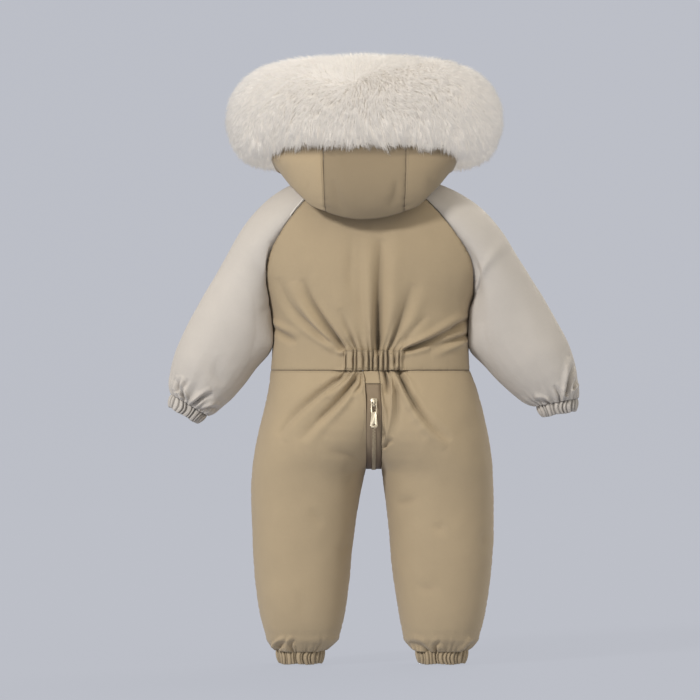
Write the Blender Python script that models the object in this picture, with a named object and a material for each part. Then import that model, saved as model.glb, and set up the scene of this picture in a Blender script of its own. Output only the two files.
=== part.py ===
"""Toddler snowsuit: a padded one-piece suit with raglan sleeves, a fur-trimmed hood and a centre zip.

The suit stands filled out with no wearer in it. The origin is the middle of the shoulder line, +Z is up,
the wearer faces +Y and so the back faces -Y; left and right are the wearer's, and left lies towards -X.
Lengths in this file are millimetres, and make_object turns them into Blender's metres.

Every cloth piece is a shell between two grids of points, an outer one and an inner one. The trunk and the
trousers are level sections, half superellipses for each side; the sleeves and the hood are lofted rings.
"""
import math
from collections import namedtuple

import bmesh
import bpy
import numpy as np
from mathutils import Matrix, Vector

MM = 0.001
CLOTH_SMOOTH = 40.0  # edges of cloth flatter than this are shaded smooth

# Cloth and seams
WALL = 5.0  # shell cloth, wadding and lining of the body, sleeves and hood
CUFF_WALL = 2.4
CASING_WALL = 1.6
TAPE_WALL = 1.6
SEAM = 0.16  # each piece's share of the 0.32 gap at a seam

# Trunk
WAIST = -261.0
ARMPIT = -152.0
NECK_SHOULDER = 39.0
FULLNESS = 2.25  # superellipse exponent of the trunk and the legs

# Zip
ZIP_HALF = 11.8  # from the middle of the zip to the panels' folded edges
ZIP_INSET = 1.2
BACK_ZIP_TOP = -281.0
FRONT_ZIP_TOP = -2.0
ZIP_SPANS = 16  # of each half of the trouser's zip
ZIP_CROWDING = 1.9  # how much closer those lie towards the crotch
BODICE_ZIP_SPANS = 12
CROTCH_GAP = 0.4
TAB_SPANS = 4  # of the cloth between the waist and the back zip
CROTCH = -414.0
SEAT_MIDDLE = -330.0  # a height inside the seat, which the zip curves round

# Grid sizes
HALF_BACK = 18  # spans from the side to the middle of the back
HALF_FRONT = 8
TROUSER_BACK = 15  # spans from the outseam to the zip or inseam
TROUSER_FRONT = 7
CROWDING = 0.3  # how much closer the columns lie towards the middle
NECK_SPANS = 4  # spans of a sleeve's own stretch of the neckline
ARMPIT_MITRE = 60.0  # over this height the armhole's wall turns level towards the armpit
SLEEVE_ROUND = 0.92  # the lower, the squarer a sleeve's section
SLEEVE_DROP = 0.05, 0.55  # how steeply the sleeve leaves the armhole at its top, and how much more below
BLEND_ROWS = 2  # rings between the armhole and the first flat ring of a sleeve
GATHERS = 22  # round each cuff
GATHER_DRIFT = (0.05, 3.0, 0.0), (0.03, 7.0, 1.0)  # swings of a gather's place: size, number a turn, start
CASING_GATHERS = 11

# A flat ring of a sleeve: where its outer and under ends lie, and half its depth
Station = namedtuple("Station", "outer_x outer_z under_x under_z depth")
# A row of a cuff or ankle: distance below the seam, size against the seam's, and depth of the gathers
Band = namedtuple("Band", "below size gather")
# A fold pressed into the cloth, in X and Z: its ends, its width, and its depth (a ridge is negative)
Fold = namedtuple("Fold", "start_x start_z end_x end_z width depth")

KHAKI = (0.397, 0.314, 0.209)
STONE = (0.578, 0.546, 0.509)
CREAM = (0.766, 0.716, 0.660)
ZIP_BROWN = (0.238, 0.171, 0.102)
PALE_GOLD = (0.760, 0.640, 0.440)


class Table:
    """Rows of measurements, read as smooth curves against their first column."""

    def __init__(self, columns, rows):
        self.columns = columns.split()
        self.rows = np.array(sorted(rows), float)

    def at(self, column, where):
        return smooth(self.rows[:, 0], self.rows[:, self.columns.index(column)], where)

    def list(self, column):
        return self.rows[:, self.columns.index(column)]


def smooth(knots, values, where):
    """A cubic through the values that never overshoots them."""
    step = np.diff(knots)
    slope = np.diff(values) / step
    tangent = np.concatenate((slope[:1], np.zeros(len(knots) - 2), slope[-1:]))
    for i in range(1, len(knots) - 1):
        if slope[i - 1] * slope[i] > 0:
            near = 2 * step[i] + step[i - 1]
            far = step[i] + 2 * step[i - 1]
            tangent[i] = (near + far) / (near / slope[i - 1] + far / slope[i])
    i = int(np.clip(np.searchsorted(knots, where) - 1, 0, len(step) - 1))
    t = (where - knots[i]) / step[i]
    rise = values[i + 1] - values[i]
    start = tangent[i] * step[i]
    end = tangent[i + 1] * step[i]
    return values[i] + t * (start + t * (3 * rise - 2 * start - end + t * (start + end - 2 * rise)))


# Level sections of the trunk. Lean is the middle's place in X; raglan is the sleeve seam's distance from it.
TRUNK = Table(
    "height lean half_width back front raglan",
    (
        (-261, -4, 153, 104, 119, 153),
        (-230, -4, 151, 106, 121, 151),
        (-200, -4, 150, 109, 120, 150),
        (-172, -5, 153, 111, 118, 153),
        (-152, -5, 159, 112, 117, 159),
        (-140, -5, 165, 112, 116, 160),
        (-101, -6, 179, 112, 112, 160),
        (-49, -8, 178, 105, 105, 132),
        (-2, -11, 165, 88, 92, 95),
        (20, -12, 122, 74, 80, 70),
        (34, -12, 80, 64, 68, 53),
        (39, -12, 72, 61, 64, 50),
    ),
)

# Level sections of hips and legs. Outer and inner are distances from X = 0 on the leg's own side; above the
# crotch the inner end lies beyond the middle, where the zip cuts it off. Middle is the zip's place in X.
LEGS = Table(
    "height left_outer left_inner right_outer right_inner back front middle",
    (
        (-261, 157, -149, 149, -157, 104, 119, -4),
        (-280, 159, -140, 157, -142, 111, 121, -1),
        (-310, 165, -106, 166, -106, 121, 120, 1),
        (-354, 176, -46, 176, -46, 124, 116, 1),
        (-390, 183, -8, 182, -8, 117, 110, 1),
        (-406, 185, 6, 184, 7, 112, 107, 1),
        (-414, 186, 10.8, 185, 12.8, 109, 105, 1),
        (-462, 187, 21, 186, 19, 98, 98, 1),
        (-522, 186, 29, 186, 25, 90, 92, 1),
        (-603, 180, 38, 178, 34, 79, 82, 1),
        (-654, 170, 46, 169, 43, 67, 69, 1),
        (-675, 161, 54, 160, 50, 55, 57, 1),
        (-688, 150, 73, 147, 64, 38, 40, 1),
    ),
)

# Rows of the trunk's panels: height at the side seam or raglan edge, and at the middle of back and front.
TRUNK_ROWS = (
    (-261, -261, -261),
    (-243, -243, -244),
    (-224, -225, -226),
    (-206, -207, -208),
    (-188, -189, -190),
    (-170, -171, -172),
    (-152, -154, -155),
    (-144, -138, -138),
    (-128, -120, -121),
    (-108, -101, -103),
    (-86, -82, -85),
    (-63, -62, -67),
    (-39, -42, -49),
    (-15, -21, -31),
    (10, 0, -15),
    (34, 22, 0),
)
ARMHOLE_ROW = 6  # the row that meets the armpit

# Rows of the trouser panels: height at the outseam and at the zip edge or inseam.
TROUSER_ROWS = (
    (-261, -261),
    (-277, -278),
    (-293, -297),
    (-310, -316),
    (-327, -335),
    (-344, -353),
    (-361, -370),
    (-378, -385),
    (-395, -397),
    (-412, -406),
    (-430, -412),
    (-449, -414),
    (-471, -442),
    (-497, -474),
    (-525, -508),
    (-555, -543),
    (-585, -578),
    (-613, -609),
    (-637, -635),
    (-656, -655),
    (-673, -673),
    (-688, -688),
)

# Flat rings of the sleeves from armhole to cuff, as rows of a Station.
SLEEVES = {
    "left": (
        (222, -80, 164, -186, 67),
        (244, -118, 160, -205, 65),
        (269, -160, 159, -226, 63),
        (289, -197, 175, -252, 61),
        (303, -228, 194, -280, 58),
        (311, -255, 215, -305, 53),
        (314, -275, 233, -320, 46),
        (313, -287, 246, -328, 39),
        (311, -297, 254, -331, 31),
    ),
    "right": (
        (218, -80, 157, -186, 67),
        (238, -110, 154, -205, 65),
        (262, -147, 153, -228, 63),
        (283, -183, 168, -253, 61),
        (299, -213, 190, -278, 58),
        (309, -241, 212, -297, 53),
        (314, -266, 231, -309, 46),
        (316, -286, 242, -314, 39),
        (316, -304, 250, -316, 31),
    ),
}
ARM_FORWARD = 14.0  # how far the cuffs swing forward

# Cuffs and ankles from their seam down, as rows of a Band.
CUFF_ROWS = ((0.0, 1.0, 0.7), (9.0, 0.93, 1.8), (19.0, 0.80, 1.3))
ANKLE_ROWS = ((0.0, 1.0, 0.7), (10.0, 0.98, 1.8), (23.0, 0.87, 1.3))

# The hood's pouch: how far each row lies from the neckline to just below the fur, its reach and height at the
# middle of the back, and the seam's half distance.
HOOD_ROWS = Table(
    "along back height seam",
    (
        (0.14, 87, 20, 50),
        (0.28, 104, -4, 55),
        (0.42, 117, -25, 58),
        (0.56, 133, -27, 60),
        (0.70, 145, -11, 61),
        (0.85, 149, 17, 62),
        (1.00, 138, 48, 63),
    ),
)
POUCH_OUT = 0.4  # the lower, the squarer the pouch is in plan
POUCH_DOWN = 0.55  # the lower, the squarer its bottom is seen from behind
POUCH_TAPER = 1.3  # how much rounder it grows towards the fur
FRONT_FROM = 75.0  # the hood's front begins at this turn
FRONT_FULL = 115.0
THROAT_RISE = 13.0  # how far the hood arches up between neckline and fur in front
ARCH_PEAK = 6.75  # makes the arch's greatest height THROAT_RISE
RIM_DROP = 10.0  # the last stretch of the hood, straight up to the fur at the sides and in front
HOOD_CENTRE_SPANS = 8
HOOD_SIDE_SPANS = 9
HOOD_NECK_SEAM = 46.0  # the seams' half distance at the neckline
HOOD_LEAN = -13.0
HOOD_END_TURN = 158.0  # where the hood's front edge lies, in degrees from the middle of the back
HOOD_LIFT = 0.35  # the hood's gap to the fur
NECK_LIFT = 0.5  # and to the neckline
NECK_CORNER_LIFT = 1.6  # more in front, where it cuts the neckline's corners
NECK_CORNER_TURN = 30.0  # past the side by this turn the lift is whole
HOOD_WALL = 3.2
HOOD_RIM_SEAM = 63.0  # the seams' half distance at the fur

# The fur roll, from the middle of the back round to its front end: its middle, half height and half depth.
FUR = Table(
    "turn x y z tall deep",
    (
        (0, 0, -92, 150, 74, 54),
        (35, 87, -80, 148, 72, 54),
        (62, 139, -48, 139, 71, 54),
        (90, 158, 2, 122, 69, 55),
        (125, 124, 62, 103, 55, 49),
        (158, 57, 102, 80, 41, 36),
    ),
)
FUR_SIDES = 12
FUR_SPANS = 24
FUR_SMOOTH = 60.0  # edges flatter than this are shaded smooth
FUR_ENDS = ((0.86, 12.0), (0.52, 22.0))  # size and reach of the rings that round each end off

# Folds, as rows of a Fold.
BACK_FOLDS = (
    (8, -224, 13, -62, 15, 9.0),
    (-6, -232, -9, -120, 12, -3.0),
    (27, -230, 36, -70, 14, -4.0),
    (-40, -228, -106, -123, 14, 7.0),
    (-28, -228, -84, -112, 13, -3.0),
    (-49, -230, -129, -176, 13, 6.0),
    (-152, -196, -112, -216, 12, 5.0),
    (46, -232, 140, -187, 14, 8.5),
    (60, -214, 136, -168, 14, -3.0),
    (89, -226, 146, -207, 12, 6.0),
    (28, -230, 66, -129, 13, 6.0),
    (-33, -190, -32, -70, 14, 4.0),
    (-14, -200, -20, -66, 12, 3.0),
)
SEAT_FOLDS = (
    (-49, -266, -126, -330, 14, 8.0),
    (-62, -284, -112, -352, 14, -4.0),
    (-23, -272, -95, -356, 14, 7.0),
    (41, -262, 64, -309, 15, 9.0),
    (66, -312, 112, -364, 15, 4.0),
    (50, -300, 80, -370, 15, -3.0),
    (24, -262, 18, -300, 12, 6.0),
    (18, -300, 27, -336, 12, 5.0),
    (27, -336, 20, -378, 12, 4.0),
    (150, -344, 172, -354, 12, 3.5),
)
FRONT_FOLDS = (
    (-30, -262, -70, -210, 13, 3.0),
    (34, -262, 84, -196, 13, 3.5),
    (-60, -266, -120, -330, 14, 3.5),
    (52, -264, 116, -322, 14, 3.0),
    (-22, -300, -60, -372, 13, 3.0),
    (24, -306, 70, -366, 13, 3.5),
    (-150, -186, -96, -214, 12, 3.0),
    (146, -190, 92, -206, 12, 3.0),
)
FOLD_FADE = 0.65  # part of its depth that a fold loses by its end
FOLD_CORE = 0.55  # how much of its width is deep
FOLD_LEVEL = 1.4  # folds die out where the cloth turns away to the side
CINCH = {"height": -246.0, "half_width": 58.0, "half_height": 30.0, "depth": 8.0}

# The waist casing: its half width, the heights of its rows and where it lies across
CASING_HALF = 45.0
CASING_HEIGHTS = (-260.4, -252.0, -243.8, -237.0, -230.0)
CASING_MIDDLE = 0.0
CASING_RISE = 1.7  # depth of a gather
STITCHED_RISE = 0.6  # part of that left at the stitched edges
CASING_CLEAR = 0.8
CASING_STEPS = 4  # spans a gather
FLAT_AREA = 1e-9  # a panel's triangle seen from behind with less area is edge on
TRIANGLE_SLACK = 0.02  # how far outside a triangle a place still counts as on it

# Slider and pull tab
SLIDER_LENGTH = 13.0
SLIDER_TOP_WIDTH = 10.4
SLIDER_END_WIDTH = 7.6
SLIDER_HEIGHT = 2.8
SLIDER_CORNER = 1.2  # cut off its top corners
SLIDER_FLARE = 0.4  # how much wider it is past its narrow end
SLIDER_WAIST = 0.4  # where that width is reached, as parts of its half length
SLIDER_SHOULDER = 0.5
SLIDER_CLEAR = 0.3
BRIDGE_WIDTH = 2.0
BRIDGE_SPAN = 8.6
BRIDGE_RISE = 4.2
BRIDGE_BAR = 1.3
BRIDGE_FILLET = 0.7, 0.6  # inside its corners, along and up
BRIDGE_CORNER = 1.4, 1.2  # cut off outside them
BRIDGE_SUNK = 0.5  # how deep its feet stand in the slider
PIN_RADIUS = 0.8
PIN_HEIGHT = 1.5  # the pin's middle over the slider's face
PULL_WIDTH = 9.0
PULL_WINDOW = 15.0
PULL_LENGTH = 40.0
PULL_END_WIDTH = 11.0
PULL_NECK = 7.6
PULL_THICK = 1.6
PULL_RAIL = 1.5
PULL_SLOPE = 2.0  # from the window down to the neck
PULL_NECK_LENGTH = 2.0
PULL_CORNER = 1.6, 3.0  # cut off the tab's lower corners, across and up
WINDOW_CORNER = 1.0, 0.6
HOLE_HEIGHT = 4.6  # the oval hole's middle over the tab's lower end
HOLE_SIDES = 12
PULL_HOLE = (2.4, 1.5)  # half width and half height of the oval hole near the tab's end
BACK_SLIDER_TOP = -303.0
FRONT_SLIDER_TOP = -8.0


def clear_scene():
    for item in list(bpy.data.objects):
        bpy.data.objects.remove(item, do_unlink=True)


def finish(name, colour, roughness, metallic=0.0):
    """A piece's own material."""
    material = bpy.data.materials.new(name)
    material.use_nodes = True
    shader = material.node_tree.nodes["Principled BSDF"]
    shader.inputs["Base Color"].default_value = (*colour, 1.0)
    shader.inputs["Roughness"].default_value = roughness
    shader.inputs["Metallic"].default_value = metallic
    material.diffuse_color = (*colour, 1.0)
    return material


def make_object(name, points, faces, material, smooth_angle=CLOTH_SMOOTH):
    """Turn millimetre points and faces into an object whose faces point outwards."""
    mesh = bpy.data.meshes.new(name)
    mesh.from_pydata([tuple(float(v) * MM for v in p) for p in points], [], faces)
    work = bmesh.new()
    work.from_mesh(mesh)
    if work.calc_volume(signed=True) < 0:
        bmesh.ops.reverse_faces(work, faces=work.faces[:])
    work.to_mesh(mesh)
    work.free()
    mesh.shade_smooth()
    mesh.set_sharp_from_angle(angle=math.radians(smooth_angle))
    mesh.materials.append(material)
    made = bpy.data.objects.new(name, mesh)
    bpy.context.scene.collection.objects.link(made)
    return made


def shell(name, outer, inner, material, ring=False):
    """Close the space between two grids of points into one solid; a ring joins its last column to its first.

    A rim's diagonal runs from the lower outer point, so that the rims either side of a seam match.
    """
    rows, columns = outer.shape[:2]
    spans = columns if ring else columns - 1

    def at(layer, row, column):
        return layer * rows * columns + row * columns + column % columns

    faces = []
    for row in range(rows - 1):
        for column in range(spans):
            corners = ((row, column), (row, column + 1), (row + 1, column + 1), (row + 1, column))
            for triangle in ((0, 1, 2), (0, 2, 3)):
                faces.append([at(0, *corners[i]) for i in triangle])
                faces.append([at(1, *corners[i]) for i in reversed(triangle)])
    rims = [((0, c + 1), (0, c)) for c in range(spans)]
    rims += [((rows - 1, c), (rows - 1, c + 1)) for c in range(spans)]
    if not ring:
        rims += [((r, 0), (r + 1, 0)) for r in range(rows - 1)]
        rims += [((r + 1, columns - 1), (r, columns - 1)) for r in range(rows - 1)]
    points = np.concatenate((outer.reshape(-1, 3), inner.reshape(-1, 3)))
    for start, end in rims:
        out_start, out_end, in_end, in_start = at(0, *start), at(0, *end), at(1, *end), at(1, *start)
        if points[out_start][2] < points[out_end][2]:
            faces += [[out_start, out_end, in_end], [out_start, in_end, in_start]]
        else:
            faces += [[out_start, out_end, in_start], [out_end, in_end, in_start]]
    return make_object(name, points, faces, material)


def draw_in(outer, inner, edges):
    """Move the named edge rows or columns of both grids towards their neighbours, to leave the seam's gap."""
    places = {
        "first_row": (np.s_[0], np.s_[1]),
        "last_row": (np.s_[-1], np.s_[-2]),
        "first_column": (np.s_[:, 0], np.s_[:, 1]),
        "last_column": (np.s_[:, -1], np.s_[:, -2]),
    }
    for edge in edges:
        here, there = places[edge]
        for grid in (outer, inner):
            away = grid[there] - grid[here]
            grid[here] += SEAM * away / np.linalg.norm(away, axis=-1, keepdims=True)
    return outer, inner


def relief(folds, x, z):
    """How far the folds draw the cloth in at a place seen from the front or back."""
    total = 0.0
    for fold in (Fold(*row) for row in folds):
        along_x = fold.end_x - fold.start_x
        along_z = fold.end_z - fold.start_z
        length = math.hypot(along_x, along_z)
        along = ((x - fold.start_x) * along_x + (z - fold.start_z) * along_z) / length
        aside = ((x - fold.start_x) * along_z - (z - fold.start_z) * along_x) / length
        beyond = max(-along, along - length, 0.0)
        fade = 1.0 - FOLD_FADE * np.clip(along / length, 0.0, 1.0)
        shape = math.exp(-((aside / (FOLD_CORE * fold.width)) ** 2) - (beyond / fold.width) ** 2)
        total += fold.depth * fade * shape
    return total


def cinch(x, z):
    """The waist elastic draws the back in around itself."""
    across = (x - CASING_MIDDLE) / CINCH["half_width"]
    down = (z - CINCH["height"]) / CINCH["half_height"]
    return CINCH["depth"] * math.exp(-(across**2) - down**2)


def half_section(middle, half, depth, angle):
    """A superellipse point and the level normal into the cloth; angle 0 is the side and 90 degrees the middle."""
    power = 2.0 / FULLNESS
    c = math.cos(angle)
    s = max(math.sin(angle), 0.0)
    across = middle + half * math.copysign(abs(c) ** power, c)
    out = depth * s**power
    pull = FULLNESS - 1.0
    slope_x = math.copysign(abs((across - middle) / half) ** pull, c) / half
    slope_y = (out / depth) ** pull / depth
    size = math.hypot(slope_x, slope_y)
    return across, out, slope_x / size, slope_y / size


def angle_at(middle, half, across):
    """The section angle at which a half section reaches a distance from the middle."""
    ratio = np.clip((across - middle) / half, -1.0, 1.0)
    return math.acos(math.copysign(abs(ratio) ** (FULLNESS / 2.0), ratio))


SIGN = {"left": -1.0, "right": 1.0}
FACING = {"back": -1.0, "front": 1.0}


def trunk_point(side, face, height, angle):
    """Outer and inner point of the trunk's wall."""
    half = TRUNK.at("half_width", height)
    across, out, normal_x, normal_y = half_section(0.0, half, TRUNK.at(face, height), angle)
    x = TRUNK.at("lean", height) + SIGN[side] * across
    draw = relief(BACK_FOLDS, x, height) + cinch(x, height) if face == "back" else relief(FRONT_FOLDS, x, height)
    draw *= min(1.0, normal_y * FOLD_LEVEL)
    return wall_points(side, face, x, out, height, normal_x, normal_y, draw)


def wall_points(side, face, x, out, height, normal_x, normal_y, draw):
    away = np.array((SIGN[side] * normal_x, FACING[face] * normal_y, 0.0))
    outer = np.array((x, FACING[face] * out, height)) - draw * away
    return outer, outer - WALL * away


def raglan_angle(height):
    if height <= ARMPIT:
        return 0.0
    return angle_at(0.0, TRUNK.at("half_width", height), TRUNK.at("raglan", height))


def leg_end(side, height):
    """The section angle of the zip edge, or of the inseam below the crotch."""
    if height <= CROTCH:
        return math.pi
    far = LEGS.at(side + "_outer", height)
    near = LEGS.at(side + "_inner", height)
    edge = SIGN[side] * LEGS.at("middle", height) + ZIP_HALF
    return angle_at((far + near) / 2.0, (far - near) / 2.0, edge)


def leg_point(side, face, height, angle):
    """Outer and inner point of the trousers' wall; the angle is 0 at the outseam."""
    far = LEGS.at(side + "_outer", height)
    near = LEGS.at(side + "_inner", height)
    depth = LEGS.at(face, height)
    across, out, normal_x, normal_y = half_section((far + near) / 2.0, (far - near) / 2.0, depth, angle)
    x = SIGN[side] * across
    draw = relief(SEAT_FOLDS, x, height) + cinch(x, height) if face == "back" else relief(FRONT_FOLDS, x, height)
    draw *= min(1.0, normal_y * FOLD_LEVEL)
    return wall_points(side, face, x, out, height, normal_x, normal_y, draw)


def keep_edge(pair, side, part, edge, middle):
    """Keep both faces of a panel's zip edge clear of the zip."""
    if edge > 0.0 and part == 1.0:
        for point in pair:
            point[0] = SIGN[side] * max(SIGN[side] * point[0], SIGN[side] * middle + edge)
    return pair


def grid_of(rows):
    """Split rows of (outer, inner) pairs into two grids."""
    pairs = np.array(rows, float)
    return pairs[:, :, 0].copy(), pairs[:, :, 1].copy()


def even(first, last, spans):
    return [first + (last - first) * i / spans for i in range(spans + 1)]


def crowd(part):
    """Move columns towards the middle of the back or front, where the folds are."""
    return part + CROWDING * math.sin(math.pi * part) / math.pi


def ease(part):
    """A slow start and end between 0 and 1."""
    return part * part * (3.0 - 2.0 * part)


def trunk_half(side, face, spans, edge):
    """Rows of one half of the trunk, from its side or raglan edge to the middle, edge from it."""
    rows = []
    column = {"back": 1, "front": 2}[face]
    for heights in TRUNK_ROWS:
        at_side = heights[0]
        at_middle = heights[column]
        row = []
        for part in even(0.0, 1.0, spans):
            height = at_side + (at_middle - at_side) * ease(part)
            start = raglan_angle(at_side)
            end = angle_at(0.0, TRUNK.at("half_width", height), edge)
            pair = trunk_point(side, face, height, start + crowd(part) * (end - start))
            row.append(keep_edge(pair, side, part, edge, TRUNK.at("lean", height)))
        rows.append(row)
    return rows


def make_trunk():
    """The back in one piece, and the fronts either side of the zip."""
    left = trunk_half("left", "back", HALF_BACK, 0.0)
    right = trunk_half("right", "back", HALF_BACK, 0.0)
    whole = [a + list(reversed(b))[1:] for a, b in zip(left, right)]
    edges = ("first_row", "last_row", "first_column", "last_column")
    outer, inner = draw_in(*grid_of(whole), edges)
    shell("back_bodice", outer, inner, finish("back_bodice", KHAKI, 0.8))
    for side in SIGN:
        grids = grid_of(trunk_half(side, "front", HALF_FRONT, ZIP_HALF))
        name = "front_bodice_" + side
        shell(name, *draw_in(*grids, edges), finish(name, KHAKI, 0.8))
    return outer


def make_trousers():
    for side in SIGN:
        for face, spans in (("back", TROUSER_BACK), ("front", TROUSER_FRONT)):
            rows = []
            for at_side, at_edge in TROUSER_ROWS:
                row = []
                for part in even(0.0, 1.0, spans):
                    height = at_side + (at_edge - at_side) * ease(part)
                    pair = leg_point(side, face, height, crowd(part) * leg_end(side, at_edge))
                    edge = ZIP_HALF if at_edge > CROTCH else 0.0
                    row.append(keep_edge(pair, side, part, edge, LEGS.at("middle", height)))
                rows.append(row)
            name = "trouser_" + face + "_" + side
            edges = ("first_row", "last_row", "first_column", "last_column")
            shell(name, *draw_in(*grid_of(rows), edges), finish(name, KHAKI, 0.8))


def armhole(side):
    """The sleeve's first ring: over the shoulder's neckline, down the back seam, under the arm, up the front.

    Each entry holds the outer point, the inner point and how far down the ring the point lies, 0 to 1.
    """
    heights = [row[0] for row in TRUNK_ROWS[ARMHOLE_ROW:]]
    up = np.array((0.0, 0.0, 1.0))
    halves = {}
    for face in FACING:
        points = []
        top_angle = raglan_angle(heights[-1])
        for part in even(0.0, 1.0, NECK_SPANS // 2)[:-1]:
            height = NECK_SHOULDER + (heights[-1] - NECK_SHOULDER) * part**2
            points.append(trunk_point(side, face, height, top_angle * part))
        for height in reversed(heights):
            outer, inner = trunk_point(side, face, height, raglan_angle(height))
            turn = ease(float(np.clip(1.0 - (height - ARMPIT) / ARMPIT_MITRE, 0.0, 1.0)))
            mitre = (1.0 - turn) * (inner - outer) / WALL + turn * up
            points.append((outer, outer + WALL * mitre / np.linalg.norm(mitre)))
        halves[face] = points
    lengths = np.linalg.norm(np.diff([p[0] for p in halves["back"]], axis=0), axis=1)
    down = np.concatenate(((0.0,), np.cumsum(lengths))) / lengths.sum()
    ring = [(*pair, part, -1.0) for pair, part in zip(halves["back"], down)]
    ring += [(*pair, part, 1.0) for pair, part in list(zip(halves["front"], down))[-2:0:-1]]
    return ring


def flat_ring(station, side, forward, ring):
    """An oval sleeve ring between its outer and under ends, with a point for each point of the armhole."""
    top = np.array((SIGN[side] * station.outer_x, 0.0, station.outer_z))
    bottom = np.array((SIGN[side] * station.under_x, 0.0, station.under_z))
    middle = (top + bottom) / 2.0 + np.array((0.0, forward, 0.0))
    half = (top - bottom) / 2.0
    points = []
    for _, _, down, face in ring:
        angle = math.pi * down
        across = math.copysign(abs(math.cos(angle)) ** SLEEVE_ROUND, math.cos(angle))
        out = max(math.sin(angle), 0.0) ** SLEEVE_ROUND
        points.append(middle + half * across + np.array((0.0, face * station.depth * out, 0.0)))
    return np.array(points)


def sleeve_grids(side):
    ring = armhole(side)
    stations = [Station(*row) for row in SLEEVES[side]]
    flat = []
    for i, station in enumerate(stations):
        forward = ARM_FORWARD * ease(i / (len(stations) - 1))
        flat.append(flat_ring(station, side, forward, ring))
    start = np.array([entry[0] for entry in ring])
    down = np.array([entry[2] for entry in ring])[:, None]
    reach = np.linalg.norm(flat[0] - start, axis=1, keepdims=True)
    drop = SLEEVE_DROP[0] + SLEEVE_DROP[1] * down**2
    leave = np.concatenate((np.full_like(down, SIGN[side]), 0.0 * down, -drop), axis=1)
    leave /= np.linalg.norm(leave, axis=1, keepdims=True)
    axis = flat[1].mean(axis=0) - flat[0].mean(axis=0)
    arrive = axis / np.linalg.norm(axis)
    rows = [start]
    for i in range(1, BLEND_ROWS + 1):
        t = i / (BLEND_ROWS + 1)
        rows.append(
            (2 * t**3 - 3 * t**2 + 1) * start
            + (t**3 - 2 * t**2 + t) * reach * leave
            + (3 * t**2 - 2 * t**3) * flat[0]
            + (t**3 - t**2) * reach * arrive
        )
    outer = np.array(rows + flat)
    inner = outer - WALL * normals_of(outer, ring=True)
    inner[0] = [entry[1] for entry in ring]
    return outer, inner


def normals_of(grid, ring):
    """Outward normals of a grid that wraps round a hollow, from its neighbouring points."""
    along = np.gradient(grid, axis=0)
    if ring:
        across = np.roll(grid, -1, axis=1) - np.roll(grid, 1, axis=1)
    else:
        across = np.gradient(grid, axis=1)
    normal = np.cross(across, along)
    normal /= np.linalg.norm(normal, axis=-1, keepdims=True)
    if ring:
        away = grid - grid.mean(axis=1, keepdims=True)
        if (normal[2:] * away[2:]).sum() < 0:
            normal = -normal
    return normal


def make_sleeves():
    for side in SIGN:
        outer, inner = draw_in(*sleeve_grids(side), ("first_row", "last_row"))
        name = "sleeve_" + side
        shell(name, outer, inner, finish(name, STONE, 0.75), ring=True)


def uneven(turn):
    """Shift a gather round its band a little, so that no two are alike."""
    return sum(size * math.sin(count * turn + start) for size, count, start in GATHER_DRIFT)


def gathered_band(name, middle, across, out, down, rows, colour, gathers=GATHERS):
    """An elasticated band: an oval ring whose wall waves in and out, narrowing along its length."""
    outer_rows = []
    inner_rows = []
    for band in (Band(*row) for row in rows):
        outer_row = []
        inner_row = []
        for i in range(2 * gathers):
            turn = 2.0 * math.pi * i / (2 * gathers)
            turn += uneven(turn)
            spoke = math.cos(turn) * across + math.sin(turn) * out
            reach = np.linalg.norm(spoke)
            size = band.size * reach + (band.gather if i % 2 else -band.gather)
            centre = middle + (band.below + SEAM) * down
            outer_row.append(centre + spoke * size / reach)
            inner_row.append(centre + spoke * (size - CUFF_WALL) / reach)
        outer_rows.append(outer_row)
        inner_rows.append(inner_row)
    shell(name, np.array(outer_rows), np.array(inner_rows), finish(name, colour, 0.75), ring=True)


def make_cuffs():
    for side in SIGN:
        last = Station(*SLEEVES[side][-1])
        top = np.array((SIGN[side] * last.outer_x, ARM_FORWARD, last.outer_z))
        bottom = np.array((SIGN[side] * last.under_x, ARM_FORWARD, last.under_z))
        across = (top - bottom) / 2.0
        out = np.array((0.0, last.depth, 0.0))
        down = np.cross(across, out)
        down *= -math.copysign(1.0, down[2]) / np.linalg.norm(down)
        gathered_band("cuff_" + side, (top + bottom) / 2.0, across, out, down, CUFF_ROWS, STONE)


def make_ankles():
    seam = TROUSER_ROWS[-1][0]
    for side in SIGN:
        far = LEGS.at(side + "_outer", seam)
        near = LEGS.at(side + "_inner", seam)
        back = LEGS.at("back", seam)
        front = LEGS.at("front", seam)
        middle = np.array((SIGN[side] * (far + near) / 2.0, (front - back) / 2.0, seam))
        across = np.array(((far - near) / 2.0, 0.0, 0.0))
        out = np.array((0.0, (front + back) / 2.0, 0.0))
        down = np.array((0.0, 0.0, -1.0))
        gathered_band("ankle_" + side, middle, across, out, down, ANKLE_ROWS, KHAKI)


def make_casing(panel):
    """The gathered elastic casing, laid on the back panel's own points and moved out from them."""
    columns = CASING_GATHERS * CASING_STEPS
    outer_rows = []
    inner_rows = []
    for height in CASING_HEIGHTS:
        outer_row = []
        inner_row = []
        stitched = height in (CASING_HEIGHTS[0], CASING_HEIGHTS[-1])
        for i, x in enumerate(even(CASING_MIDDLE - CASING_HALF, CASING_MIDDLE + CASING_HALF, columns)):
            base = lie_on(panel, x, height)
            wave = 0.5 - 0.5 * math.cos(2.0 * math.pi * i / CASING_STEPS)
            wave *= CASING_RISE * (STITCHED_RISE if stitched else 1.0)
            inner_row.append(base - np.array((0.0, CASING_CLEAR + wave, 0.0)))
            outer_row.append(base - np.array((0.0, CASING_CLEAR + CASING_WALL + wave, 0.0)))
        outer_rows.append(outer_row)
        inner_rows.append(inner_row)
    shell("waist_elastic", np.array(outer_rows), np.array(inner_rows), finish("waist_elastic", KHAKI, 0.8))


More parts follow.
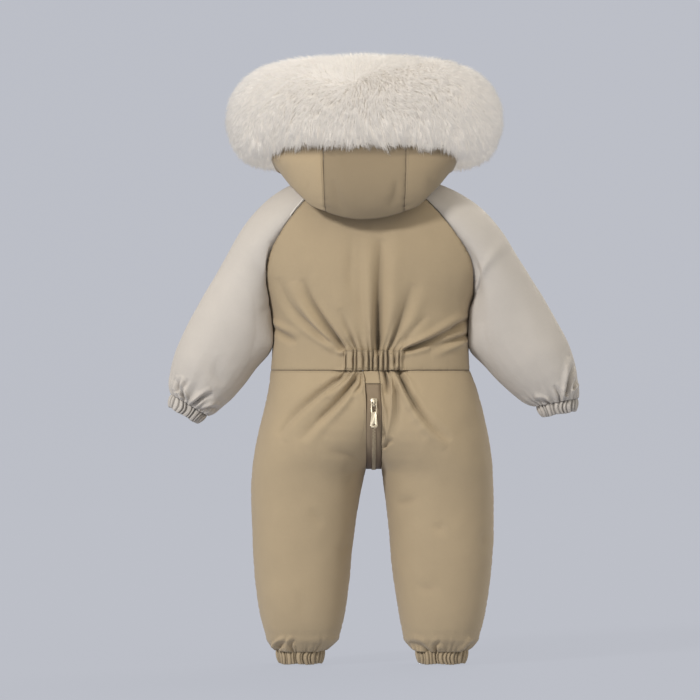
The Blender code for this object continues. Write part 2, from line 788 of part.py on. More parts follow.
def lie_on(grid, x, z):
    """The point of a back panel's outer grid at a place seen from behind."""
    best = None
    for row in range(grid.shape[0] - 1):
        for column in range(grid.shape[1] - 1):
            corners = [grid[row, column], grid[row, column + 1], grid[row + 1, column + 1], grid[row + 1, column]]
            for a, b, c in ((0, 1, 2), (0, 2, 3)):
                found = on_triangle(corners[a], corners[b], corners[c], x, z)
                if found is not None and (best is None or found[1] < best[1]):
                    best = found
    if best is None:
        raise ValueError("no panel at %.1f, %.1f" % (x, z))
    return best


def on_triangle(a, b, c, x, z):
    flat = np.array(((b[0] - a[0], c[0] - a[0]), (b[2] - a[2], c[2] - a[2])))
    if abs(np.linalg.det(flat)) < FLAT_AREA:
        return None
    u, v = np.linalg.solve(flat, (x - a[0], z - a[2]))
    if u < -TRIANGLE_SLACK or v < -TRIANGLE_SLACK or u + v > 1.0 + TRIANGLE_SLACK:
        return None
    return a + u * (b - a) + v * (c - a)


def zip_path(face, heights):
    """The middle line of the zip in Y and Z, on the panels' edges, with its place in X."""
    path = []
    for height in heights:
        if height > WAIST:
            half = TRUNK.at("half_width", height)
            angle = angle_at(0.0, half, ZIP_HALF)
            point = trunk_point("right", face, height, angle)[0]
            middle = TRUNK.at("lean", height)
        else:
            point = leg_point("right", face, height, leg_end("right", height))[0]
            middle = LEGS.at("middle", height)
        path.append((middle, point[1], height))
    return np.array(path)


def level_normals(path):
    """Normals of the zip's path in the plane of Y and Z, pointing out of the suit."""
    along = np.gradient(path[:, 1:], axis=0)
    along /= np.linalg.norm(along, axis=1, keepdims=True)
    normal = np.stack((along[:, 1], -along[:, 0]), axis=1)
    away = path[:, 1:] - np.array((0.0, SEAT_MIDDLE))
    flip = np.sign((normal * away).sum())
    return normal * flip


def strip(name, path, normals, inset, wall, material):
    """A flat strip between the panels' edges along a path."""
    outer_rows = []
    inner_rows = []
    reach = ZIP_HALF - 2.0 * SEAM
    for (x, y, z), (out_y, out_z) in zip(path, normals):
        away = np.array((0.0, out_y, out_z))
        for rows, depth in ((outer_rows, inset), (inner_rows, inset + wall)):
            rows.append([np.array((x + s * reach, y, z)) - depth * away for s in (-1.0, 1.0)])
    outer, inner = draw_in(np.array(outer_rows), np.array(inner_rows), ("first_row", "last_row"))
    return shell(name, outer, inner, material)


def zip_heights(top):
    """Heights from the top down to the crotch, closer together near it."""
    low = CROTCH + CROTCH_GAP
    return [low + (top - low) * (1.0 - i / ZIP_SPANS) ** ZIP_CROWDING for i in range(ZIP_SPANS + 1)]


def make_zip():
    back = zip_path("back", zip_heights(BACK_ZIP_TOP))
    bodice = even(FRONT_ZIP_TOP, WAIST, BODICE_ZIP_SPANS)[:-1]
    front = zip_path("front", bodice + zip_heights(WAIST))
    join = np.array(((back[-1, 0], 0.0, CROTCH + CROTCH_GAP / 4.0),))
    back = np.concatenate((back, join))
    front = np.concatenate((front, join))
    whole = np.concatenate((back, front[::-1][1:]))
    normals = level_normals(whole)
    split = len(back)
    for name, part in (("zip_tape_back", np.s_[:split]), ("zip_tape_front", np.s_[split - 1:])):
        strip(name, whole[part], normals[part], ZIP_INSET, TAPE_WALL, finish(name, ZIP_BROWN, 0.7))
    tab = zip_path("back", even(WAIST - SEAM, BACK_ZIP_TOP + SEAM, TAB_SPANS))
    strip("back_zip_tab", tab, level_normals(tab), 0.0, WALL, finish("back_zip_tab", KHAKI, 0.8))
    return back, front, normals


def neck_loop(back_outer):
    """The neckline as one run of outer points, left front edge to right front edge round the back."""
    loops = []
    for side in SIGN:
        front = [p[0] for p in trunk_half(side, "front", HALF_FRONT, ZIP_HALF)[-1]]
        ring = armhole(side)
        spans = NECK_SPANS // 2
        across = [ring[i][0] for i in range(spans, -1, -1)] + [ring[-i][0] for i in range(1, spans)]
        loops.append(list(reversed(front)) + list(reversed(across)))
    back = [np.array(p) for p in back_outer[-1]]
    return np.array(loops[0] + back[1:-1] + list(reversed(loops[1])))


def fur_frame(turn):
    """Middle of the fur roll, its level direction out, and its half height and half depth."""
    side = math.copysign(1.0, turn)
    size = abs(turn)
    here = np.array([FUR.at(k, size) for k in "xyz"])
    step = 1.0
    ahead = np.array([FUR.at(k, size + step) for k in "xyz"]) - np.array([FUR.at(k, size - step) for k in "xyz"])
    if size < step:
        ahead = np.array((1.0, 0.0, 0.0))
    out = np.array((ahead[1], -ahead[0], 0.0))
    out /= np.linalg.norm(out)
    here[0] = HOOD_LEAN + side * here[0]
    out[0] *= side
    return here, out, FUR.at("tall", size), FUR.at("deep", size)


def fur_corner(frame, side_index):
    """One corner of the fur roll's section; corner 0 is the lowest, and they run inwards and up."""
    middle, out, tall, deep = frame
    angle = 2.0 * math.pi * side_index / FUR_SIDES
    return middle - deep * math.sin(angle) * out - np.array((0.0, 0.0, tall * math.cos(angle)))


def make_fur():
    """The fur roll that lies on the hood's edge, with rounded ends at the throat."""
    rings = [fur_frame(turn) for turn in even(-HOOD_END_TURN, HOOD_END_TURN, FUR_SPANS)]
    ends = []
    for index in (0, -1):
        middle, out, tall, deep = rings[index]
        onward = np.array((-out[1], out[0], 0.0))
        onward *= -math.copysign(1.0, onward[0] * (middle[0] - HOOD_LEAN))
        ends.append([(middle + reach * onward, out, tall * size, deep * size) for size, reach in FUR_ENDS])
    rings = list(reversed(ends[0])) + rings + ends[1]
    points = [fur_corner(ring, i) for ring in rings for i in range(FUR_SIDES)]
    faces = []
    for start in range(0, (len(rings) - 1) * FUR_SIDES, FUR_SIDES):
        for i in range(FUR_SIDES):
            j = (i + 1) % FUR_SIDES
            faces.append([start + i, start + j, start + FUR_SIDES + j, start + FUR_SIDES + i])
    faces.append(list(range(FUR_SIDES))[::-1])
    faces.append([len(points) - FUR_SIDES + i for i in range(FUR_SIDES)])
    make_object("fur_trim", points, faces, finish("fur_trim", CREAM, 1.0), smooth_angle=FUR_SMOOTH)


def rim_at(turn):
    """Outer and inner point of the hood's edge, just below the lowest line of the fur roll."""
    span = 2.0 * HOOD_END_TURN / FUR_SPANS
    place = (turn + HOOD_END_TURN) / span
    first = min(int(place), FUR_SPANS - 1)
    frames = [fur_frame(-HOOD_END_TURN + ring * span) for ring in (first, first + 1)]
    low, high = (fur_corner(frame, 0) for frame in frames)
    outer = low + (place - first) * (high - low) - np.array((0.0, 0.0, HOOD_LIFT))
    return outer, outer - HOOD_WALL * frames[0][1]


def neck_at(loop, turn):
    """The neckline's point at a turn from the middle of the back; past the sides it stretches to the front."""
    turns = np.degrees(np.arctan2(loop[:, 0] - HOOD_LEAN, -loop[:, 1]))
    past = max(abs(turn) - 90.0, 0.0)
    reach = turns[-1] if turn > 0 else -turns[0]
    turn = math.copysign(min(abs(turn), 90.0) + past * (reach - 90.0) / (HOOD_END_TURN - 90.0), turn)
    lift = NECK_LIFT + NECK_CORNER_LIFT * min(past / NECK_CORNER_TURN, 1.0)
    return np.array([np.interp(turn, turns, loop[:, i]) for i in range(3)]) + np.array((0.0, 0.0, lift))


def below_rim(turn):
    return rim_at(turn)[0] - np.array((0.0, 0.0, RIM_DROP))


def hood_point(loop, along, turn):
    """A point of the hood: on the straight line from neckline to fur, drawn out into the pouch behind."""
    neck = neck_at(loop, turn)
    end = below_rim(turn)
    point = neck + along * (end - neck)
    behind = max(math.cos(math.radians(turn)), 0.0)
    if along > 0.0 and behind > 0.0:
        middle = neck_at(loop, 0.0)[2] * (1.0 - along) + below_rim(0.0)[2] * along
        taper = POUCH_TAPER * along**3
        point[1] += behind ** (POUCH_OUT + taper) * (-HOOD_ROWS.at("back", along) - point[1])
        point[2] += behind ** (POUCH_DOWN + taper) * (HOOD_ROWS.at("height", along) - middle)
    point[2] += THROAT_RISE * in_front(turn) * ARCH_PEAK * along * (1.0 - along) ** 2
    return point


def in_front(turn):
    """How much a turn belongs to the front of the hood, 0 to 1."""
    return ease(float(np.clip((abs(turn) - FRONT_FROM) / (FRONT_FULL - FRONT_FROM), 0.0, 1.0)))


def hood_turns(loop, along, seam):
    """The turns of one row's columns, with the panels' seams at a distance from the hood's middle."""
    turns = np.arange(0.0, 90.0, 1.0)
    row = []
    for side in (-1.0, 1.0):
        reach = [side * (hood_point(loop, along, side * t)[0] - HOOD_LEAN) for t in turns]
        seam_turn = float(np.interp(seam, reach, turns))
        panel = even(HOOD_END_TURN, seam_turn, HOOD_SIDE_SPANS)
        half = panel + even(seam_turn, 0.0, HOOD_CENTRE_SPANS // 2)[1:]
        row += [-t for t in half] if side < 0 else half[-2::-1]
    return row


def make_hood(loop):
    """Centre and side panels from the neckline, out and down over the back, and up to the fur."""
    seams = [(0.0, HOOD_NECK_SEAM), *zip(HOOD_ROWS.list("along"), HOOD_ROWS.list("seam"))]
    rows = []
    for along, seam in seams:
        turns = hood_turns(loop, along, seam)
        rows.append([hood_point(loop, along, turn) for turn in turns])
    rows.append([rim_at(turn)[0] for turn in turns])
    outer = np.array(rows)
    normal = normals_of(outer, ring=False)
    if normal[5, outer.shape[1] // 2][1] > 0:
        normal = -normal
    inner = outer - HOOD_WALL * normal
    inner[-1] = [rim_at(turn)[1] for turn in turns]
    corner = outer[-2] + inner[-1] - outer[-1] + np.array((0.0, 0.0, HOOD_WALL))
    front = np.array([in_front(turn) for turn in turns])[:, None]
    inner[-2] += front * (corner - inner[-2])
    spans = {"hood_left": HOOD_SIDE_SPANS, "hood_centre": HOOD_CENTRE_SPANS, "hood_right": HOOD_SIDE_SPANS}
    start = 0
    for name, count in spans.items():
        part = np.s_[:, start:start + count + 1]
        grids = outer[part].copy(), inner[part].copy()
        shell(name, *draw_in(*grids, ("first_column", "last_column")), finish(name, KHAKI, 0.8))
        start += count


def block(outline, low, high):
    """A straight-sided solid over an outline, as a bmesh in millimetres."""
    work = bmesh.new()
    base = [work.verts.new((x, y, low)) for x, y in outline]
    face = work.faces.new(base)
    raised = bmesh.ops.extrude_face_region(work, geom=[face])
    top = [item for item in raised["geom"] if isinstance(item, bmesh.types.BMVert)]
    bmesh.ops.translate(work, verts=top, vec=(0.0, 0.0, high - low))
    bmesh.ops.recalc_face_normals(work, faces=work.faces[:])
    return work


def solid_of(name, work, material, place):
    """Make a millimetre bmesh an object in its place."""
    mesh = bpy.data.meshes.new(name)
    work.transform(Matrix.Diagonal((MM, MM, MM, 1.0)))
    work.to_mesh(mesh)
    work.free()
    mesh.materials.append(material)
    made = bpy.data.objects.new(name, mesh)
    bpy.context.scene.collection.objects.link(made)
    made.matrix_world = place
    return made


def combine(target, other, operation):
    """Keep the other object as a hidden helper of a Boolean on the target."""
    other.hide_render = True
    other.display_type = "WIRE"
    modifier = target.modifiers.new(operation.lower(), "BOOLEAN")
    modifier.operation = operation
    modifier.solver = "EXACT"
    modifier.object = other


def mirrored(half):
    """An outline from its right half, which starts and ends beside the middle."""
    return half + [(-x, y) for x, y in reversed(half)]


def oval(half_x, half_y, centre_y, count):
    return [
        (half_x * math.cos(2 * math.pi * i / count), centre_y + half_y * math.sin(2 * math.pi * i / count))
        for i in range(count)
    ]


def make_slider(place_name, frame):
    """A slider and its pull tab. In the frame X runs across the zip, Y up along it and Z out of it."""
    gold = finish("slider_" + place_name, PALE_GOLD, 0.3, 1.0)
    top = SLIDER_LENGTH / 2.0
    wide = SLIDER_TOP_WIDTH / 2.0
    narrow = SLIDER_END_WIDTH / 2.0
    half = [(narrow, -top), (narrow + SLIDER_FLARE, -top * SLIDER_WAIST), (wide, top * SLIDER_SHOULDER),
            (wide - SLIDER_CORNER, top)]
    low = SLIDER_CLEAR
    high = low + SLIDER_HEIGHT
    body = solid_of("slider_" + place_name, block(mirrored(half), low, high), gold, frame)
    bridge = bridge_block(high)
    helper = solid_of("helper_bridge_" + place_name, bridge, gold, frame)
    combine(body, helper, "UNION")
    axis = Vector((0.0, 0.0, high + PIN_HEIGHT)) * MM
    make_pull(place_name, frame @ Matrix.Translation(axis))


def bridge_block(face):
    """The arch that holds the pull, thin across the zip and long along it."""
    out = BRIDGE_SPAN / 2.0
    inside = out - BRIDGE_BAR
    under = BRIDGE_RISE - BRIDGE_BAR
    half = [(inside - BRIDGE_FILLET[0], under), (inside, under - BRIDGE_FILLET[1]), (inside, -BRIDGE_SUNK),
            (out, -BRIDGE_SUNK), (out, BRIDGE_RISE - BRIDGE_CORNER[1]), (out - BRIDGE_CORNER[0], BRIDGE_RISE)]
    work = block(mirrored(half), -BRIDGE_WIDTH / 2.0, BRIDGE_WIDTH / 2.0)
    work.transform(Matrix(((0, 0, 1, 0), (1, 0, 0, 0), (0, 1, 0, face), (0, 0, 0, 1))))
    return work


def make_pull(place_name, frame):
    """The pull tab: a window frame whose top bar is the pin, a neck, and a tab with an oval hole."""
    gold = finish("pull_" + place_name, PALE_GOLD, 0.28, 1.0)
    half = PULL_WIDTH / 2.0
    neck = PULL_NECK / 2.0
    end = PULL_END_WIDTH / 2.0
    below = -PULL_WINDOW - PULL_SLOPE
    edge = [(end - PULL_CORNER[0], -PULL_LENGTH), (end, -PULL_LENGTH + PULL_CORNER[1]), (neck, below - PULL_NECK_LENGTH),
            (neck, below), (half, -PULL_WINDOW), (half, PIN_RADIUS)]
    plate = solid_of("pull_" + place_name, block(mirrored(edge), -PULL_THICK / 2.0, PULL_THICK / 2.0), gold, frame)
    inner = half - PULL_RAIL
    window = mirrored([(inner - WINDOW_CORNER[0], -PULL_WINDOW - WINDOW_CORNER[1]),
                       (inner, -PULL_WINDOW + WINDOW_CORNER[1]), (inner, -PIN_RADIUS)])
    hole = oval(PULL_HOLE[0], PULL_HOLE[1], -PULL_LENGTH + HOLE_HEIGHT, HOLE_SIDES)
    for label, shape in (("window", window), ("hole", hole)):
        helper = solid_of("helper_%s_%s" % (label, place_name), block(shape, -PULL_THICK, PULL_THICK), gold, frame)
        combine(plate, helper, "DIFFERENCE")


def zip_frame(path, normals, height):
    """The frame of a slider whose middle lies at a height on the tape."""
    order = np.argsort(path[:, 2])
    x, y = (np.interp(height, path[order, 2], path[order, i]) for i in (0, 1))
    out = np.array([np.interp(height, path[order, 2], normals[order, i]) for i in (0, 1)])
    out /= np.linalg.norm(out)
    outward = Vector((0.0, out[0], out[1]))
    along = Vector((0.0, -out[1], out[0])) if out[0] > 0 else Vector((0.0, out[1], -out[0]))
    across = along.cross(outward)
    turn = Matrix((across, along, outward)).transposed().to_4x4()
    seat = Vector((x, y, height)) - ZIP_INSET * outward
    return Matrix.Translation(seat * MM) @ turn


def make_sliders(back, front, normals):
    back_place = zip_frame(back, normals[: len(back)], BACK_SLIDER_TOP - SLIDER_LENGTH / 2.0)
    front_place = zip_frame(front[::-1], normals[len(back) - 1:], FRONT_SLIDER_TOP - SLIDER_LENGTH / 2.0)
    make_slider("back", back_place)
    make_slider("front", front_place)


def main():
    clear_scene()
    panel = make_trunk()
    make_trousers()
    make_sleeves()
    make_cuffs()
    make_ankles()
    make_casing(panel)
    back, front, normals = make_zip()
    make_sliders(back, front, normals)
    make_hood(neck_loop(panel))
    make_fur()
    bpy.context.view_layer.update()


main()
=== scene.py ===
"""A toddler's snowsuit: its cloth, fur, zips and stitching, built over the model's frame."""

import math
from collections import namedtuple

import bmesh
import bpy
import numpy as np
from bpy.props import FloatProperty, FloatVectorProperty, IntProperty, PointerProperty
from bpy.types import Operator, Panel, PropertyGroup
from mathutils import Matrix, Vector, noise
from mathutils.bvhtree import BVHTree
from mathutils.kdtree import KDTree


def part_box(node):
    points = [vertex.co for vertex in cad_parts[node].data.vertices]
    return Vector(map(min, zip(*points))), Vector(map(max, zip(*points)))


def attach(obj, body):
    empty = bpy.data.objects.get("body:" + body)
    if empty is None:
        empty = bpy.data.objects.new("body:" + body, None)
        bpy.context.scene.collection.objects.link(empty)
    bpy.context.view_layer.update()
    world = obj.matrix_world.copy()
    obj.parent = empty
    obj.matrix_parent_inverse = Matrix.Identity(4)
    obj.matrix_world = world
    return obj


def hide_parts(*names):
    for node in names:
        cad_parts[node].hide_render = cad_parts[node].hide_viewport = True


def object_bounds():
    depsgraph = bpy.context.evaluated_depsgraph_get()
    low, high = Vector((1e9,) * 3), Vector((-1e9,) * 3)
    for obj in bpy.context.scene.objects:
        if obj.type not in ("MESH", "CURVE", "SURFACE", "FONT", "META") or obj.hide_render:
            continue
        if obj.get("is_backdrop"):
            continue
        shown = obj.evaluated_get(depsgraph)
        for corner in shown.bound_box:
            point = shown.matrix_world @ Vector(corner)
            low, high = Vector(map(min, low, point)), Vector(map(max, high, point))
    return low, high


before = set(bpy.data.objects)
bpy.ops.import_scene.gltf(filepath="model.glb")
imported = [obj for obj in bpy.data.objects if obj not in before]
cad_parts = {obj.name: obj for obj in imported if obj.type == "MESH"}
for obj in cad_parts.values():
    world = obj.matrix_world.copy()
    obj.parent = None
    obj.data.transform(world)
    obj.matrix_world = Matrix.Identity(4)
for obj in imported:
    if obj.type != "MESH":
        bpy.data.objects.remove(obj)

bl_info = {
    "name": "Toddler Snowsuit",
    "version": (1, 0, 0),
    "blender": (4, 5, 0),
    "location": "View3D > Sidebar > Snowsuit",
    "description": "Cloth, fur, zips and stitching of a toddler's snowsuit",
    "category": "Add Mesh",
}

MM = 0.001
MERGE = 1e-5  # points of the model's meshes that lie closer than this are one
RIM_ANGLE = math.radians(50)  # a panel's cut edges are sharper than this
SMOOTH_ANGLE = math.radians(48)

# Middles of trunk, legs and arms, in metres
TRUNK_MIDDLE = ((-0.261, -0.101, 0.039), (-0.004, -0.006, -0.012))
LEG_MIDDLE = (
    (-0.688, -0.603, -0.462, -0.414, -0.354, -0.300, -0.261),
    (0.108, 0.108, 0.103, 0.0985, 0.062, 0.034, 0.020),
)
ARMS = {
    "left": ((-0.135, 0.0, -0.035), (-0.2825, 0.014, -0.314)),
    "right": ((0.115, 0.0, -0.035), (0.283, 0.014, -0.310)),
}
HOOD_MIDDLE = (-0.013, -0.035, 0.052)
ZIP_MIDDLE = (  # heights, and how far across the zip's middle lies there
    (-0.414, -0.300, -0.261, -0.152, -0.049, -0.002),
    (0.001, 0.001, -0.004, -0.005, -0.008, -0.011),
)
ZIP_CENTRE = (0.0, -0.28)  # of the sweep round the zip, in Y and Z
ZIP_DARKENS = (0.375, 0.410)  # depths below the origin between which the tape turns dark

# A cloth piece: its node, the part of the body it goes round, its colour, the width and length of its
# cut, and the cut's area.
Cloth = namedtuple("Cloth", "node region colour width length area")
CLOTHS = tuple(
    Cloth(*row)
    for row in (
        ("back_bodice", "trunk", "khaki", 0.43, 0.31, 0.104),
        ("front_bodice_left", "trunk", "khaki", 0.22, 0.30, 0.049),
        ("front_bodice_right", "trunk", "khaki", 0.22, 0.30, 0.049),
        ("trouser_back_left", "leg_left", "khaki", 0.31, 0.43, 0.112),
        ("trouser_back_right", "leg_right", "khaki", 0.31, 0.43, 0.112),
        ("trouser_front_left", "leg_left", "khaki", 0.30, 0.43, 0.110),
        ("trouser_front_right", "leg_right", "khaki", 0.30, 0.43, 0.110),
        ("sleeve_left", "arm_left", "stone", 0.42, 0.38, 0.121),
        ("sleeve_right", "arm_right", "stone", 0.42, 0.38, 0.125),
        ("hood_left", "hood", "khaki", 0.20, 0.18, 0.031),
        ("hood_centre", "hood", "khaki", 0.13, 0.21, 0.027),
        ("hood_right", "hood", "khaki", 0.20, 0.18, 0.031),
    )
)
REGION = {cloth.node: cloth.region for cloth in CLOTHS}

# A crease: half its width, its depth (negative: it stands up), the share of that its ridge rises beside
# it (negative: on its right), and its points, in millimetres across and up. They are kept by the part
# they lie on and its face, -1 behind and 1 in front.
Crease = namedtuple("Crease", "width depth ridge points")
CREASES = {
    ("body", -1): (
        (7.5, 6.0, 0.5, ((7, -232), (9, -150), (12, -62))),
        (5, 6.0, 0.8, ((-45, -226), (-74, -189), (-97, -154), (-108, -122))),
        (5, 3.6, 0.7, ((-50, -228), (-89, -199), (-124, -165), (-146, -120))),
        (4, 5.0, 0.7, ((-166, -182), (-150, -199), (-116, -218))),
        (3.5, 4.0, 0.8, ((152, -181), (138, -188), (120, -198))),
        (4.5, 6.5, 0.8, ((46, -231), (80, -219), (118, -201), (150, -183))),
        (4, 5.0, 0.8, ((153, -204), (124, -215), (84, -227))),
        (7, 3.4, -0.6, ((26, -230), (46, -178), (60, -129))),
        (9, 2.6, 0.4, ((-30, -156), (-36, -110), (-34, -60))),
        (8, 2.6, 0.4, ((-14, -226), (-18, -150), (-20, -66))),
        (5, 3.0, 0.4, ((-26, -232), (-36, -204), (-52, -168))),
        (5, 3.0, -0.4, ((36, -232), (56, -204), (84, -176))),
        (5, 4.6, 0.8, ((-40, -266), (-84, -296), (-130, -336), (-146, -362))),
        (5, 4.4, 0.8, ((-22, -268), (-52, -306), (-86, -338), (-112, -368))),
        (2.6, 3.2, 0.7, ((-33, -264), (-46, -280), (-70, -298))),
        (2.4, 3.0, 0.7, ((-18, -268), (-20, -284), (-34, -300))),
        (4.5, 5.2, -0.8, ((38, -262), (62, -309), (90, -345), (118, -368))),
        (2.8, 4.6, 0.0, ((18, -264), (21, -280), (21, -298))),
        (3.0, -3.2, 0.0, ((27, -262), (28, -300), (26, -336), (17, -376))),
        (5, 3.0, 0.0, ((35, -286), (36, -322), (28, -360))),
        (2.4, -2.8, 0.0, ((12, -282), (14.5, -310), (20.5, -332), (17, -366))),
        (3, 2.8, 0.5, ((16, -378), (22, -370), (30, -366))),
        (8, 2.4, 0.4, ((-14, -402), (-38, -388), (-74, -382))),
        (8, 2.2, 0.4, ((-20, -408), (-34, -424), (-42, -450))),
        (7, 2.4, 0.3, ((30, -462), (48, -460), (72, -454))),
        (6, 2.4, 0.3, ((-38, -522), (-46, -534), (-58, -540))),
        (8, 2.2, 0.3, ((-96, -470), (-84, -486), (-78, -500))),
        (8, 2.2, 0.3, ((92, -492), (100, -500), (112, -496))),
        (9, 2.0, 0.3, ((62, -584), (82, -592), (104, -586))),
        (8, 2.0, 0.3, ((-116, -598), (-108, -618), (-104, -640))),
        (7, 2.2, 0.4, ((174, -540), (168, -520), (170, -500))),
        (2.8, 4.4, 0.6, ((-146, -688), (-140, -680), (-130, -676))),
        (2.6, 3.8, 0.6, ((-122, -688), (-125, -679), (-118, -672))),
        (2.8, 3.4, 0.6, ((-73, -686), (-62, -682), (-52, -674))),
        (3.2, 5.4, 0.8, ((88, -690), (74, -682), (58, -677))),
        (2.6, 3.6, -0.6, ((98, -690), (96, -681), (104, -674))),
        (2.8, 4.0, 0.7, ((134, -690), (143, -684), (154, -678))),
    ),
    ("body", 1): (
        (3.0, 4.0, 0.6, ((-136, -688), (-128, -680), (-118, -676))),
        (3.0, 4.0, -0.6, ((80, -688), (92, -681), (106, -678))),
        (7, 3.6, 0.5, ((-30, -262), (-52, -236), (-84, -212))),
        (7, 3.6, -0.5, ((34, -262), (62, -230), (96, -206))),
        (6, 3.0, 0.5, ((-22, -190), (-48, -166), (-90, -152))),
        (6, 2.8, -0.5, ((10, -150), (44, -132), (84, -124))),
        (7, 3.2, 0.5, ((-54, -264), (-88, -296), (-124, -326))),
        (7, 3.2, -0.5, ((50, -264), (84, -292), (120, -318))),
        (6, 3.4, 0.5, ((-20, -340), (-48, -366), (-88, -384))),
        (6, 3.4, -0.5, ((22, -344), (50, -372), (90, -388))),
        (6, 2.6, 0.4, ((-24, -400), (-52, -420), (-92, -428))),
        (6, 2.6, -0.4, ((26, -400), (56, -424), (98, -430))),
        (8, 2.4, 0.3, ((-62, -528), (-96, -540), (-134, -532))),
        (8, 2.4, -0.3, ((58, -536), (92, -550), (132, -540))),
        (8, 2.2, 0.3, ((-150, -186), (-124, -198), (-96, -204))),
        (8, 2.2, -0.3, ((146, -190), (122, -200), (92, -206))),
    ),
    ("arm", -1): (
        (2.8, 4.5, 0.8, ((-279, -315), (-262, -304), (-244, -296))),
        (2.6, 3.6, 0.8, ((-264, -322), (-250, -319), (-234, -320))),
        (2.8, 3.6, -0.8, ((-288, -306), (-296, -290), (-304, -272))),
        (2.4, 3.4, 0.8, ((-292, -300), (-290, -288), (-283, -274))),
        (2.4, 3.0, 0.8, ((-300, -294), (-299, -284), (-294, -272))),
        (2.4, 3.0, -0.8, ((286, -308), (284, -296), (276, -284))),
        (12, 2.6, 0.5, ((-228, -286), (-240, -262), (-236, -236))),
        (3.4, 5.0, 0.8, ((296, -298), (302, -272), (311, -244))),
        (2.6, 3.4, -0.8, ((306, -290), (311, -278), (315, -266))),
        (2.6, 3.6, -0.8, ((270, -312), (260, -308), (248, -309))),
        (5, -3.0, 0.0, ((156, -142), (165, -112), (182, -86), (204, -64))),
        (10, 2.0, 0.5, ((-164, -150), (-176, -112), (-200, -82))),
    ),
    ("arm", 1): (
        (9, 3.4, 0.5, ((-166, -150), (-196, -170), (-232, -176))),
        (9, 3.4, -0.5, ((160, -150), (192, -166), (226, -172))),
        (8, 2.8, 0.5, ((-206, -214), (-238, -216), (-272, -200))),
        (8, 2.8, -0.5, ((204, -210), (236, -214), (270, -196))),
        (6, 3.0, 0.5, ((-264, -320), (-252, -300), (-246, -276))),
        (6, 3.0, -0.5, ((262, -308), (254, -290), (252, -268))),
    ),
    ("hood", -1): (
        (6, 2.4, 0.5, ((-60, 30), (-54, 4), (-40, -18))),
        (6, 2.4, -0.5, ((36, 34), (32, 8), (20, -16))),
        (7, 2.0, 0.4, ((-96, 44), (-100, 20), (-112, 6))),
        (7, 2.0, -0.4, ((84, 42), (90, 18), (100, 4))),
    ),
}
SOFT_CREASE = 2.7  # millimetres: a shallower crease fades towards both ends
SOFTNESS = 0.45  # how deep it is at most, as a share of a deep one
CREASE_REACH = 9.0  # no crease is felt further off than this times its half width

# How a seam draws the cloth in, in millimetres: how deep, how far to each side, how deep its puckers are, and
# the radius of the dark cord laid in its depth as a painted shadow.
Seam = namedtuple("Seam", "first second depth reach pucker thread")
SEAMS = tuple(
    Seam(first.format(side), second.format(side), *sizes)
    for first, second, *sizes in (
        ("sleeve_{}", "back_bodice", 1.5, 4.0, 0.5, 0.42),
        ("sleeve_{}", "front_bodice_{}", 1.5, 4.0, 0.5, 0.42),
        ("back_bodice", "trouser_back_{}", 0.7, 3.0, 0.35, 0.20),
        ("front_bodice_{}", "trouser_front_{}", 1.0, 4.5, 0.8, 0.26),
        ("back_bodice", "front_bodice_{}", 1.0, 3.5, 0.6, 0.30),
        ("trouser_back_{}", "trouser_front_{}", 1.0, 3.5, 0.7, 0.30),
        ("hood_{}", "hood_centre", 1.2, 3.5, 0.7, 0.34),
    )
    for side in ("left", "right")
)
SEAM_STEP = 1.5  # millimetres between the points of a seam's line
SEAM_GAP = 1.1 * MM  # facing edges lie closer than this
SEAM_JUMP = 26 * MM  # a longer step starts another seam

# A gathered band: its limb and side, the middle of its seam, half its width across the limb and
# outwards, how far it reaches down, and the size of its lower end against its seam's.
Band = namedtuple("Band", "name limb side middle across out drop end")
BANDS = tuple(
    Band(*row)
    for row in (
        ("cuff", "arm", "left", (-0.2825, 0.014, -0.314), (-0.0285, 0.0, 0.017), 0.031, 0.019, 0.80),
        ("cuff", "arm", "right", (0.283, 0.014, -0.310), (0.033, 0.0, 0.006), 0.031, 0.019, 0.80),
        ("ankle", "leg", "left", (-0.1115, 0.001, -0.688), (0.0385, 0.0, 0.0), 0.039, 0.023, 0.87),
        ("ankle", "leg", "right", (0.1055, 0.001, -0.688), (0.0415, 0.0, 0.0), 0.039, 0.023, 0.87),
    )
)
# What each kind of band gathers: how many gathers, how high they reach up the cloth, how deep they are
# there and how far it swells over them, in millimetres, the cloth's piece and colour, and the width and
# length of the band's cut.
Gathers = namedtuple("Gathers", "count height depth swell cloth colour cut")
GATHERS = {
    "cuff": Gathers(25, 0.038, 5.0, 2.2, "sleeve", "stone", (0.27, 0.020)),
    "ankle": Gathers(36, 0.014, 3.0, 4.2, "trouser_back", "khaki", (0.33, 0.024)),
}
GATHER_SEEDS = {"left": 11, "right": 29}
BAND_WALL = 2.2 * MM
BAND_GAP = 0.16 * MM  # a band starts this far below its middle
BAND_DIVISIONS = 300
BAND_OUTSIDE = (0.0, 0.06, 0.14, 0.26, 0.4, 0.55, 0.7, 0.84, 0.94, 0.99)  # its rows, as shares of its length
BAND_INSIDE = (0.99, 0.9, 0.6, 0.3, 0.0)

# The elastic casing: its gathers, half its width, its lower and upper edges, its wall and its cut
CASING_PLEATS = 11
CASING_HALF = 0.0445
CASING_LOW = -0.2605
CASING_HIGH = -0.2295
CASING_WALL = 1.4 * MM
CASING_DIVISIONS = (221, 19)
GATHERED_WAIST = (-0.2455, 0.0155)  # the middle of the cloth under it, and half its height

# Heights and widths that the hood's bag is kept within, and how much shade is painted on the backs of some
# pieces
HOOD_HEIGHTS = (-0.022, 0.0, 0.021, 0.044, 0.062)
HOOD_WIDTHS = (0.070, 0.093, 0.114, 0.132, 0.142)
SHADED = {"hood_centre": 0.66, "hood_right": 0.46, "sleeve_right": 0.10}

LEAN_BACK = 0.020  # rays from a sleeve to the body start this far behind its wall

